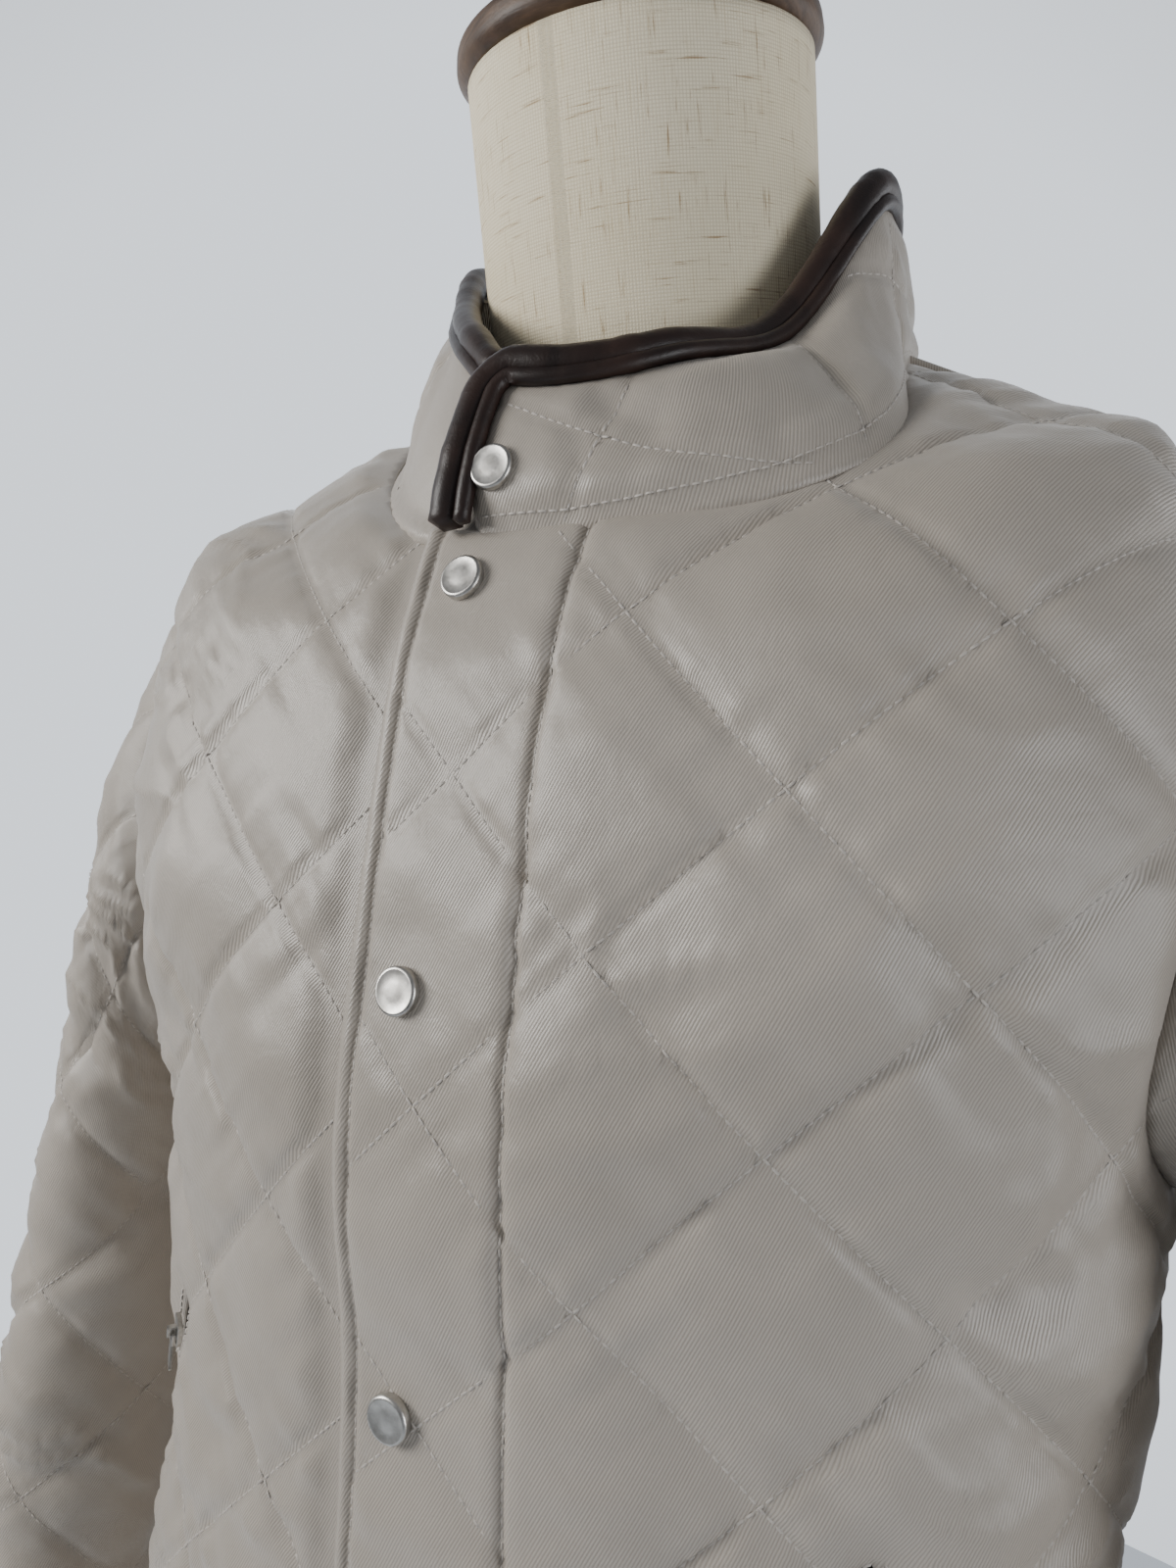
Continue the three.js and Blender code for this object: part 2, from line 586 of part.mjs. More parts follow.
// Pocket opening as a closed slot round a line
function slotRound(line, half) {
  const left = [];
  const right = [];
  line.forEach((p, i) => {
    const a = line[Math.max(i - 1, 0)];
    const b = line[Math.min(i + 1, line.length - 1)];
    const l = Math.hypot(b.u - a.u, b.v - a.v);
    const n = [-(b.v - a.v) / l, (b.u - a.u) / l];
    left.push([p.u + n[0] * half, p.v + n[1] * half]);
    right.push([p.u - n[0] * half, p.v - n[1] * half]);
  });
  return [...left, ...right.reverse()];
}
const pocketSlot = slotRound(POCKET_LINE, POCKET_HALF);
const leftEdge = frontOutline(OVERLAP_EDGE, neckRow);
const rightEdge = frontOutline(-UNDER_EDGE, () => NECK_ROW);
const frontLeft = clothPiece({
  sheet: frontSheet, outline: leftEdge, holes: [pocketSlot], start: QUILT_START.left,
  low: frontLift, high: leftTop,
});
const frontRight = clothPiece({
  sheet: frontSheet, outline: rightEdge, holes: [pocketSlot], start: QUILT_START.right, side: -1,
  low: () => 0,
  high: (u, v, edges) => CLOTH + (puffed(QUILT_START.right, PUFF, u, v, edges) - CLOTH)
    * smooth((u + OVERLAP_EDGE - 8) / 14),
});

// Back
function backOutline() {
  const left = Math.PI / 2 + SEAM_ANGLE;
  const at = (angle, row) => backSheet.measure(angle, row);
  const flip = (p) => [-p[0], p[1]];
  const run = [
    ...dropLast(steps(8).map((f) => at(mix(Math.PI, left, f), NECK_LINE))),
    ...dropLast(steps(4).map((f) => at(left, mix(NECK_LINE, TIP_LINE, f)))),
    ...dropLast(armholeRun(backSheet, 0.996, 0.5, 16, (q) => Math.max(q, left))),
    ...dropLast(steps(17).map((f) => at(left, mix(ARMPIT_ROW, HEM_LINE, f)))),
    ...steps(5).map((f) => at(mix(left, Math.PI, f), HEM_LINE)),
  ];
  const signed = run.map((p) => [Math.abs(p[0]), p[1]]);
  return [...signed, ...signed.slice(1, -1).map(flip).reverse()];
}
const backEdge = backOutline();
const back = clothPiece({
  sheet: backSheet, outline: backEdge, start: QUILT_START.back, low: () => 0,
  high: (u, v, edges) => puffed(QUILT_START.back, PUFF, u, v, edges),
});

// Sleeves: the top edge starts just clear of the armhole seam
const sleeveStart = (turn) => {
  const away = mix(2.6, 6.2, smooth(Math.abs(turn) / 0.15)) + 4 * smooth((Math.abs(turn) - 0.36) / 0.09);
  const p = sleevePoint(turn, 0);
  const q = sleevePoint(turn, 0.1);
  return (0.1 * away) / Math.hypot(q[0] - p[0], q[1] - p[1], q[2] - p[2]);
};
function sleeveOutline() {
  const at = (turn, s) => sleeveSheet.measure(turn, s);
  const end = 0.5;
  const seam = (pts, k) => pts.map((p) => [p[0] + k, p[1]]);
  const cuff = SLEEVE_END - 0.004;
  return [
    ...dropLast(steps(30).map((f) => end * Math.sin(Math.PI * (f - 0.5))).map((q) => at(q, sleeveStart(q)))
      .map((p, i) => [p[0] + (i === 0 ? 0.2 : 0), p[1]])),
    ...seam(dropLast(steps(14).map((f) => at(end, mix(sleeveStart(end), cuff, f)))), -0.2),
    ...seam([at(end, cuff)], -0.2),
    ...steps(6).slice(1, -1).map((f) => at(mix(end, -end, f), cuff)),
    ...seam(steps(14).slice(0, -1).map((f) => at(-end, mix(cuff, sleeveStart(-end), f))), 0.2),
  ];
}
const sleeveEdge = sleeveOutline();
const onPatch = (u, v) => Math.hypot((u - PATCH.u) / PATCH.halfWidth, (v - PATCH.v) / PATCH.halfLength);
const sleeveTop = (u, v, edges) => {
  const calm = smooth((onPatch(u, v) - 1.75) / 0.3);
  return CLOTH + (puffed(QUILT_START.sleeve, PUFF, u, v, edges) - CLOTH) * calm;
};
const sleeve = (side) => clothPiece({
  sheet: sleeveSheet, outline: sleeveEdge, start: QUILT_START.sleeve, side, low: () => 0, high: sleeveTop,
});
const patchEdge = steps(24).slice(0, -1).map((f) => {
  const q = f * 2 * Math.PI;
  const pinch = 1 / (Math.abs(Math.cos(q)) ** 2.5 + Math.abs(Math.sin(q)) ** 2.5) ** 0.4;
  return [PATCH.u + PATCH.halfWidth * 0.94 * pinch * Math.cos(q),
    PATCH.v + PATCH.halfLength * 0.94 * pinch * Math.sin(q)];
});
const patch = (side) => clothPiece({
  sheet: sleeveSheet, outline: patchEdge, start: QUILT_START.sleeve, side, inner: QUILT_STEPS,
  low: () => CLOTH + PATCH.rise, high: () => CLOTH + PATCH.rise + PATCH.thick,
});

// Pocket backings, seen dark through the openings
const backingEdge = slotRound(
  [{ u: 131, v: -81 }, ...POCKET_LINE.slice(1, -1), { u: 192, v: -255 }], POCKET_BACKING_HALF);
const backing = (side) => clothPiece({
  sheet: frontSheet, outline: backingEdge, start: side > 0 ? QUILT_START.left : QUILT_START.right, side,
  steps: INNER_STEPS,
  low: () => -BACKING_GAP - POCKET_BACKING, high: () => -BACKING_GAP,
});

// Collar: a band that laps over itself at the front
const collarLift = (u) => {
  const from = collarSheet.measure(COLLAR_LIFT_FROM, 0.5)[0];
  const to = collarSheet.measure(COLLAR_LIFT_TO, 0.5)[0];
  return COLLAR_LIFT * (1 - smooth((u - from) / (to - from)));
};
const collarHeight = (angle) => collarSheet.measure(angle, 1)[1];
function collarOutline(inset) {
  const over = collarSheet.measure(COLLAR_OVER_ANGLE, 0.5)[0] + inset;
  const under = collarSheet.measure(COLLAR_UNDER_ANGLE, 0.5)[0] - inset;
  const angles = steps(48).map((f) => mix(COLLAR_OVER_ANGLE + 2.2, COLLAR_UNDER_ANGLE - 1.2, f));
  const foot = COLLAR_SEAM_RISE + 2 * inset;
  const low = angles.map((q) => [collarSheet.measure(q, 0.5)[0], foot]);
  const top = angles.map((q) => [collarSheet.measure(q, 0.5)[0], collarHeight(q) * COLLAR_EDGE - inset]);
  const lowered = top.map(([u, v], i) => [u, v - UNDER_DROP * smooth((angles[i] - UNDER_DROP_FROM) / 12)]);
  const inside = (p) => p[0] > over + 1 && p[0] < under - 1;
  return [[over, foot], ...low.filter(inside), [under, foot],
    [under, lowered[lowered.length - 1][1] - 3], ...lowered.filter(inside).reverse(),
    [over, top[0][1] - 5]];
}
const collarEdge = collarOutline(0);
const underStart = collarSheet.measure(UNDER_PLAIN_FROM, 0.5)[0];
const collarTop = (u, v, edges) => {
  const low = smooth((underStart - u) / 22);
  const flat = dimple(u - COLLAR_SNAP.u, v, [COLLAR_SNAP.v]);
  const body = (puffed(QUILT_START.collar, COLLAR_PUFF, u, v, edges) - CLOTH) * low * flat;
  return collarLift(u) + CLOTH + body;
};
const collar = clothPiece({
  sheet: collarSheet, outline: collarEdge, start: QUILT_START.collar, low: collarLift, high: collarTop,
});
const facing = clothPiece({
  sheet: collarSheet, outline: collarOutline(FACING_INSET), start: QUILT_START.collar, steps: INNER_STEPS,
  low: (u) => collarLift(u) - FACING_GAP - FACING, high: (u) => collarLift(u) - FACING_GAP,
});

// A round roll along a run of points
function roll(points, radius, sides) {
  const pts = points.map((p) => new THREE.Vector3(...p));
  const verts = [];
  const faces = [];
  let up = new THREE.Vector3(0.31, 0.22, 0.92);
  pts.forEach((p, i) => {
    const t = pts[Math.min(i + 1, pts.length - 1)].clone().sub(pts[Math.max(i - 1, 0)]).normalize();
    const e = up.clone().addScaledVector(t, -up.dot(t)).normalize();
    const f = t.clone().cross(e);
    up = e;
    for (let k = 0; k < sides; k++) {
      const q = (2 * Math.PI * k) / sides;
      const out = e.clone().multiplyScalar(Math.cos(q)).addScaledVector(f, Math.sin(q));
      verts.push(p.clone().addScaledVector(out, radius));
    }
    if (i > 0) {
      for (let k = 0; k < sides; k++) {
        const a = (i - 1) * sides + k;
        const b = (i - 1) * sides + ((k + 1) % sides);
        faces.push([a, b, b + sides], [a, b + sides, a + sides]);
      }
    }
  });
  const n = verts.length;
  verts.push(pts[0], pts[pts.length - 1]);
  for (let k = 0; k < sides; k++) {
    const l = (k + 1) % sides;
    faces.push([n, l, k], [n + 1, n - sides + k, n - sides + l]);
  }
  return meshData(verts.map((v) => v.toArray()), faces);
}

// A spot on the collar or just past its top edge
function collarSpot(u, v, w, top) {
  const safe = Math.min(v, top - 1);
  const p = collarSheet.place(u, safe, w);
  const q = collarSheet.place(u, safe - 6, w);
  return p.map((x, k) => x + ((x - q[k]) * (v - safe)) / 6);
}

// Binding: up the overlapping end, round its corner and along the top edge
function bindingPath() {
  const r = BINDING_RADIUS + BINDING_GAP;
  const over = collarSheet.measure(COLLAR_OVER_ANGLE, 0.5)[0];
  const topAt = (angle) => collarHeight(angle) * COLLAR_EDGE;
  const endTop = topAt(COLLAR_OVER_ANGLE + 3);
  const level = (u) => collarLift(u) + CLOTH / 2 + BINDING_LIFT * (collarLift(u) / COLLAR_LIFT);
  const pts = [];
  for (const f of steps(5)) pts.push([over - r, mix(COLLAR_SEAM_RISE + 3, endTop - 7, f), endTop]);
  for (const f of steps(4).slice(1, 4)) {
    const q = (f * Math.PI) / 2;
    pts.push([over + 5 - (r + 5) * Math.cos(q), endTop - 7 + (r + 7) * Math.sin(q), endTop]);
  }
  for (const f of steps(34)) {
    const angle = mix(COLLAR_OVER_ANGLE + 5, BINDING_END_ANGLE, f);
    const u = collarSheet.measure(angle, 0.5)[0];
    const du = collarSheet.measure(angle + 1, 0.5)[0] - u;
    const dv = topAt(angle + 1) - topAt(angle);
    const l = Math.hypot(du, dv);
    pts.push([u - (r * dv) / l, topAt(angle) + (r * du) / l, topAt(angle)]);
  }
  return pts.map(([u, v, top]) => collarSpot(u, v, level(u), top));
}
const binding = roll(bindingPath(), BINDING_RADIUS, 6);

// Shoulder piping over each shoulder seam
const pipingPath = (side) => steps(9).map((f) => {
  const [u, v] = frontSheet.measure(Math.PI / 2 - 0.02, mix(NECK_ROW - 0.16, TIP_ROW + 0.1, f));
  const p = frontSheet.place(u, v, CLOTH + PIPING_RADIUS + 0.9);
  return [p[0] * side, p[1], p[2]];
});
const piping = (side) => roll(pipingPath(side), PIPING_RADIUS, 6);

// A frame of axes standing on a sheet
function frameOn(sheet, u, v, w, side) {
  const at = (a, b, c) => {
    const p = sheet.place(a, b, c);
    return new THREE.Vector3(p[0] * side, p[1], p[2]);
  };
  const o = at(u, v, w);
  const n = at(u, v, w + 1).sub(o).normalize();
  const up = at(u, v + 2, w).sub(at(u, v - 2, w)).normalize();
  const y = up.addScaledVector(n, -up.dot(n)).normalize();
  return new THREE.Matrix4().makeBasis(y.clone().cross(n), y, n).setPosition(o);
}

// Snap caps: a low disc with a side wall
function snap(frame) {
  const r = SNAP_DIAMETER / 2;
  const h = SNAP_RISE;
  const profile = [[0, 0], [r, 0], [r, h - 0.7], [r * 0.93, h], [0, h + 0.35]];
  const g = new THREE.LatheGeometry(profile.map(([x, y]) => new THREE.Vector2(x, y)), 12);
  g.deleteAttribute('uv');
  g.deleteAttribute('normal');
  g.rotateX(Math.PI / 2);
  return mergeVertices(g.applyMatrix4(frame), 1e-3);
}
const SNAP_STAND = 0.5;
const snapOnFront = (level) => snap(frameOn(frontSheet, 0, level, OVERLAP_LIFT + CLOTH + SNAP_STAND, 1));
const snapOnCollar = snap(frameOn(
  collarSheet, COLLAR_SNAP.u, COLLAR_SNAP.v, COLLAR_LIFT + CLOTH + SNAP_STAND - 0.4, 1));

// Boxes joined into one closed piece
function block(x0, x1, y0, y1, z0, z1) {
  const g = new THREE.BoxGeometry(x1 - x0, y1 - y0, z1 - z0);
  g.deleteAttribute('uv');
  g.deleteAttribute('normal');
  g.translate((x0 + x1) / 2, (y0 + y1) / 2, (z0 + z1) / 2);
  const m = mergeVertices(g, 1e-4);
  const verts = [];
  const pos = m.getAttribute('position');
  for (let i = 0; i < pos.count; i++) verts.push([pos.getX(i), pos.getY(i), pos.getZ(i)]);
  const idx = [...m.index.array];
  return toSolid(verts, idx.reduce((f, v, i) => (i % 3 ? f[f.length - 1].push(v) : f.push([v]), f), []));
}
const joinAll = (list) => list.reduce((a, b) => a.add(b));

// Zip slider and hanging pull tab, built flat with +Y up the zip and +Z out
const SLIDER = { half: 4.2, bottom: -11, top: 0, base: 0.5, plate: 2 };
const CROWN = { half: 0.9, low: -7.4, high: -2.2, wall: 1.1, hollow: 2.2 };
const PULL = { width: 5.4, arm: 1.4, long: 19.5, thick: 1.1, bar: 1.1 };
const platform = SLIDER.base + SLIDER.plate;
function sliderSolid() {
  const top = platform + CROWN.hollow;
  return joinAll([
    block(-SLIDER.half, SLIDER.half, SLIDER.bottom, SLIDER.top, SLIDER.base, platform),
    block(-CROWN.half, CROWN.half, CROWN.low, CROWN.low + CROWN.wall, platform - 0.2, top + CROWN.wall),
    block(-CROWN.half, CROWN.half, CROWN.high - CROWN.wall, CROWN.high, platform - 0.2, top + CROWN.wall),
    block(-CROWN.half, CROWN.half, CROWN.low, CROWN.high, top, top + CROWN.wall),
  ]);
}
const barY = (CROWN.low + CROWN.high) / 2;
const barZ = platform + CROWN.hollow / 2;
function pullSolid() {
  const h = PULL.width / 2;
  const z0 = barZ - PULL.thick / 2;
  const z1 = barZ + PULL.thick / 2;
  const top = barY + PULL.bar / 2;
  const bottom = top - PULL.long;
  const window = CROWN.low - 2.4;
  return joinAll([
    block(-h, h, top - PULL.bar, top, z0, z1),
    block(-h, -h + PULL.arm, bottom, top, z0, z1),
    block(h - PULL.arm, h, bottom, top, z0, z1),
    block(-h, h, bottom, window, z0, z1),
  ]);
}
function placeSolid(solid, frame) {
  const { verts, faces } = fromSolid(solid);
  const g = meshData(verts, faces);
  g.applyMatrix4(frame);
  return g;
}
const ZIP_TILT = rad(21);
const ZIP_SEAT = { u: 3.6, v: -9, lift: 0.3 };
const zipFrame = (side) => frameOn(
  frontSheet, POCKET_LINE[0].u + ZIP_SEAT.u, POCKET_LINE[0].v + ZIP_SEAT.v, CLOTH + ZIP_SEAT.lift, side)
  .multiply(new THREE.Matrix4().makeRotationZ(side * ZIP_TILT));

// Form under the jacket: body rings set in, closing to the neck column
function formTorso() {
  const n = 32;
  const rings = [];
  const turnAt = (j) => {
    const q = (2 * Math.PI * j) / n;
    return q + 0.2 * Math.sin(2 * q);
  };
  const inset = (t) => {
    const ring = [];
    const clearance = mix(FORM_CLEARANCE, SHOULDER_CLEARANCE, smooth((t - ARMPIT_ROW) / 1.5));
    for (let j = 0; j < n; j++) {
      const q = turnAt(j);
      const p = bodyPoint(q, t);
      const e = 0.05;
      const less = (a, b) => a.map((x, k) => x - b[k]);
      const f = less(bodyPoint(q + e, t), bodyPoint(q - e, t));
      const g = less(bodyPoint(q, t + e), bodyPoint(q, t - e));
      const m = [f[1] * g[2] - f[2] * g[1], f[2] * g[0] - f[0] * g[2], f[0] * g[1] - f[1] * g[0]];
      const l = clearance / Math.hypot(...m);
      ring.push(p.map((x, k) => x - m[k] * l));
    }
    return ring;
  };
  const hem = inset(0.02);
  rings.push(hem.map(([x, y]) => [x * 0.985, y * 0.985, FORM_BOTTOM + NECK_HEIGHT]));
  rings.push(hem.map(([x, y]) => [x * 0.995, y * 0.995, FORM_BOTTOM + NECK_HEIGHT + 6]));
  const levels = [0.02, 1, 2, 2.7, 3.4, 4, 4.5, 5, 5.4, 5.7, 6, 6.3, 6.65, 7, 7.3];
  for (const t of levels) rings.push(inset(t));
  const last = inset(7.5);
  const neckRing = (s) => {
    const y = mix(NECK_BASE.y, NECK_TOP.y, s);
    const z = mix(NECK_BASE.z, NECK_TOP.z, s);
    const lean = Math.atan2(NECK_BASE.y - NECK_TOP.y, NECK_TOP.z - NECK_BASE.z);
    return Array.from({ length: n }, (_, j) => {
      const q = turnAt(j);
      const c = -NECK_RADIUS * Math.cos(q);
      return [NECK_RADIUS * Math.sin(q), y + c * Math.cos(lean), z + NECK_HEIGHT + c * Math.sin(lean)];
    });
  };
  const foot = neckRing(-0.55);
  for (const f of [0, 0.35, 0.7]) {
    const t = smooth(f) * 0.85;
    rings.push(last.map((p, j) => p.map((x, k) => mix(x, foot[j][k], t))));
  }
  for (const s of [-0.3, 0, 0.5, 1]) rings.push(neckRing(s));
  const verts = rings.flat();
  const faces = [];
  for (let i = 0; i + 1 < rings.length; i++) {
    for (let j = 0; j < n; j++) {
      const a = i * n + j;
      const b = i * n + ((j + 1) % n);
      faces.push([a, b, b + n], [a, b + n, a + n]);
    }
  }
  const centre = (ring) => [0, 1, 2].map((k) => ring.reduce((s, p) => s + p[k], 0) / ring.length);
  verts.push(centre(rings[0]), centre(rings[rings.length - 1]));
  const m = verts.length;
  for (let j = 0; j < n; j++) {
    const k = (j + 1) % n;
    faces.push([m - 2, k, j], [m - 1, m - 2 - n + j, m - 2 - n + k]);
  }
  return meshData(verts, faces);
}

// Turned pieces
function turned(profile, sides) {
  const g = new THREE.LatheGeometry(profile.map(([x, y]) => new THREE.Vector2(x, y)), sides);
  g.deleteAttribute('uv');
  g.deleteAttribute('normal');
  g.rotateX(Math.PI / 2);
  return mergeVertices(g, 1e-3);
}
const CAP_PROFILE = [
  [0, 0], [69.5, 0], [73, 4], [72, 12], [65, 16.5], [61, 17], [60, 22], [53, 26.6],
  [51, 27], [49, 32], [36, 36.5], [20, 39.5], [17, 46], [21.5, 57], [22, 66], [13, 76], [0, 78],
];
const POLE_TOP = FORM_BOTTOM + NECK_HEIGHT - SEAM_GAP;
const BASE_PROFILE = [
  [0, 0], [BASE_RADIUS - 3, 0], [BASE_RADIUS, 4], [BASE_RADIUS, 12], [BASE_RADIUS - 6, 18], [40, 22],
  [30, 30], [22, 34], [0, 34],
];
const POLE_PROFILE = [
  [0, 34.3], [POLE_RADIUS + 4, 34.3], [POLE_RADIUS + 4, 40], [POLE_RADIUS, 46],
  [POLE_RADIUS, POLE_TOP - 20],
  [POLE_RADIUS + 6, POLE_TOP - 8], [POLE_RADIUS + 6, POLE_TOP], [0, POLE_TOP],
];
function neckCap() {
  const g = turned(CAP_PROFILE, 20);
  const lean = Math.atan2(NECK_BASE.y - NECK_TOP.y, NECK_TOP.z - NECK_BASE.z);
  g.rotateX(lean);
  const up = SEAM_GAP;
  g.translate(0, NECK_TOP.y - up * Math.sin(lean), NECK_TOP.z + NECK_HEIGHT + up * Math.cos(lean));
  return g;
}

// Materials
const COLOURS = {
  shell: '#8e877d', facing: '#2b211c', binding: '#241915', leather: '#3a2417', metal: '#9a9891',
  linen: '#b9ae99', wood: '#3d2c22', pocket: '#1d1b1a',
};
const GLOSS = {
  shell: 0.55, facing: 0.95, binding: 0.45, leather: 0.4, metal: 0.35, linen: 0.95, wood: 0.5, pocket: 0.9,
};
const part = new THREE.Group();
part.name = 'quilted_jacket';
function add(name, geometry, colour) {
  const material = new THREE.MeshStandardMaterial({
    color: COLOURS[colour], roughness: GLOSS[colour], metalness: colour === 'metal' ? 1 : 0,
  });
  material.name = `${name}_${colour}`;
  const mesh = new THREE.Mesh(geometry, material);
  mesh.name = name;
  part.add(mesh);
}
add('front_left', frontLeft, 'shell');
add('front_right', frontRight, 'shell');
add('back', back, 'shell');
add('sleeve_left', sleeve(1), 'shell');
add('sleeve_right', sleeve(-1), 'shell');
add('collar', collar, 'shell');
add('collar_facing', facing, 'facing');
add('collar_binding', binding, 'binding');
add('shoulder_piping_left', piping(1), 'shell');
add('shoulder_piping_right', piping(-1), 'shell');
add('snap_collar', snapOnCollar, 'metal');
SNAP_LEVELS.forEach((level, i) => add(`snap_${i + 1}`, snapOnFront(level), 'metal'));
for (const [name, side] of [['left', 1], ['right', -1]]) {
  add(`pocket_backing_${name}`, backing(side), 'pocket');
  add(`zip_slider_${name}`, placeSolid(sliderSolid(), zipFrame(side)), 'metal');
  add(`zip_pull_${name}`, placeSolid(pullSolid(), zipFrame(side)), 'metal');
  add(`elbow_patch_${name}`, patch(side), 'leather');
}
add('form_torso', formTorso(), 'linen');
add('neck_cap', neckCap(), 'wood');
add('stand_pole', turned(POLE_PROFILE, 14), 'wood');
add('stand_base', turned(BASE_PROFILE, 24), 'wood');

export default part;
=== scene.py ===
import math

import bmesh
import bpy
import numpy as np
from mathutils import Matrix, Vector
from mathutils.geometry import delaunay_2d_cdt


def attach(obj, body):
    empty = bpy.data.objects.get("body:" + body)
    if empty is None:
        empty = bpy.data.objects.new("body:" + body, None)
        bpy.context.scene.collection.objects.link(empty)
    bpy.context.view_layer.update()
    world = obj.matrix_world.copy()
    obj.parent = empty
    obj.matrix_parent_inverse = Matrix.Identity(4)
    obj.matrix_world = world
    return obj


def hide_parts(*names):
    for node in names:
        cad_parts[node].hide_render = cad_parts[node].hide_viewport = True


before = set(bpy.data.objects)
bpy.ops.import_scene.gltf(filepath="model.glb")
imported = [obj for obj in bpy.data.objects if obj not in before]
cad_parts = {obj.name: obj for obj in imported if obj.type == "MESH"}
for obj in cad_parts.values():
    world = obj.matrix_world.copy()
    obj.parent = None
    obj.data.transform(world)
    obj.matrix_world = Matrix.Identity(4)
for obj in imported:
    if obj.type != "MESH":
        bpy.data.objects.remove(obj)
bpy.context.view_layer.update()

BODY = "jacket_and_form"
MM = 0.001

# Main sizes, in mm
NECK_HEIGHT = 900
CLOTH = 2
PUFF = 4.6
QUILT_WIDTH = 100
QUILT_HEIGHT = 97
PUFF_POWER = 0.44
EDGE_FADE = 15
GRID_STEPS = 22
OVERLAP_EDGE = -22
UNDER_EDGE = 24
PLACKET_LINE = 38
EDGE_ROLL = 7
OVERLAP_LIFT = 4.8
LIFT_FROM = 42
LIFT_TO = 90
SNAP_DIAMETER = 15
SNAP_RISE = 3.2
SNAP_LEVELS = [178, 50.5, -77, -204.5, -332]
COLLAR_SNAP = (5, 17.5)
QUILT_START = {"left": (8.4, 116), "right": (60.1, 71.5), "back": (0, 90), "sleeve": (0, 30), "collar": (37, 24)}
COLLAR_TURN = math.radians(20)
STITCH_PITCH = 3.5
STITCH_LONG = 3.1
STITCH_WIDE = 0.8

# Body sections from hem to neckline, heights from the neck point
BODY_KEYS = ["z_front", "z_side", "z_back", "half", "front", "side", "back", "square", "shift", "drop"]
BODY_ROWS = np.array([
    [-690, -690, -690, 212, -138, -5, 124, 0.07, 0, 2],
    [-560, -560, -560, 204, -136, -5, 120, 0.07, 0, 2],
    [-450, -450, -450, 184, -134, -5, 108, 0.05, 0, 2],
    [-350, -350, -350, 195, -135, -5, 113, 0.02, 0, 2],
    [-278, -278, -278, 200, -144, -3, 120, 0.01, 0, 2],
    [-213, -170, -200, 215, -139, 0, 120, 0.09, 0, 2],
    [-138, -56, -110, 197, -129, 4, 113, 0.09, 0, 2],
    [-105, -27, -50, 150, -120, 4, 103, 0.05, 2, 1.7],
    [-84, 0, -8, 95, -113, 2, 86, 0, 6, 1.3],
], float)
ARMPIT_ROW = 4
TIP_ROW = 6
NECK_ROW = 8
NECK_DIP = 0.8

# Armhole seam: body row against angle round the body, front half then back half
ARMHOLE_ROWS = np.array([
    [6, 90], [5.85, 80], [5.55, 71], [5.2, 65.5], [4.85, 63], [4.5, 65], [4.22, 71], [4.05, 81],
    [4, 90], [4.05, 99], [4.25, 108], [4.6, 112], [5, 112], [5.35, 109], [5.65, 105], [5.88, 98],
], float)

# Left sleeve sections: outer line, inner line, middle and half depth
SLEEVE_ROWS = np.array([
    [222, -66, 212, -284, 1, 65],
    [247, -92, 219, -294, 8, 75],
    [269, -140, 221, -308, 15, 82],
    [285, -205, 222, -326, 19, 86],
    [298, -280, 223, -354, 17, 85],
    [309, -370, 225, -398, 8, 79],
    [319, -460, 229, -469, -6, 71],
    [327, -550, 239, -556, -21, 63],
    [333, -632, 250, -640, -35, 55],
], float)
SLEEVE_END = len(SLEEVE_ROWS)

# Collar's top edge, from the wearer's right back round the front to the back
COLLAR_TOP_ROWS = np.array([
    [-46, 66, 48], [-80, 38, 58], [-84, -8, 58], [-62, -51, 22], [-30, -88, -10], [3, -103, -36],
    [45, -89, -34], [74, -51, -9.5], [93.5, -10, 57], [84, 37, 58], [50, 67, 50], [1, 79, 46],
], float)
COLLAR_OVER_ANGLE = -1.5
COLLAR_UNDER_ANGLE = 371
COLLAR_LIFT = 9.2
COLLAR_LIFT_FROM = 32
COLLAR_LIFT_TO = 72
COLLAR_SETTLE = 13
SEAM_SHARE = 0.45
COLLAR_PUFF = 4
COLLAR_BOW = 2.5
UNDER_DROP = 9
UNDER_DROP_ANGLE = 346
COLLAR_EDGE = 0.994
BINDING_RADIUS = 5.2
BINDING_LIFT = 1.2
BINDING_GAP = 1.2
BINDING_END_ANGLE = 347

POCKET_LINE = [(136, -93), (149, -124), (161, -158), (173, -194), (187, -242)]
POCKET_HALF = 3.2
BACKING_HALF = 14
PATCH = {"u": 104, "v": 300, "half_width": 52, "half_length": 84, "rise": 2.6}

FORM_BOTTOM = -745
NECK_BASE = (-1.8, 35.4)
NECK_TOP = (-25.2, 121.3)
NECK_RADIUS = 69
POLE_RADIUS = 11
BASE_RADIUS = 140


def smooth(x):
    t = np.clip(x, 0, 1)
    return t * t * (3 - 2 * t)


def mix(a, b, t):
    return a + (b - a) * t


def spline(p0, p1, p2, p3, f):
    return 0.5 * (2 * p1 + (p2 - p0) * f + (2 * p0 - 5 * p1 + 4 * p2 - p3) * f * f
                  + (3 * p1 - p0 - 3 * p2 + p3) * f ** 3)


def read_rows(rows, t):
    """A table read at fractional rows, with its ends carried on."""
    t = np.asarray(t, float)
    carried = np.vstack([2 * rows[0] - rows[1], rows, 2 * rows[-1] - rows[-2]])
    i = np.clip(np.floor(t).astype(int), 0, len(rows) - 2)
    f = (t - i)[..., None]
    return spline(carried[i], carried[i + 1], carried[i + 2], carried[i + 3], f)


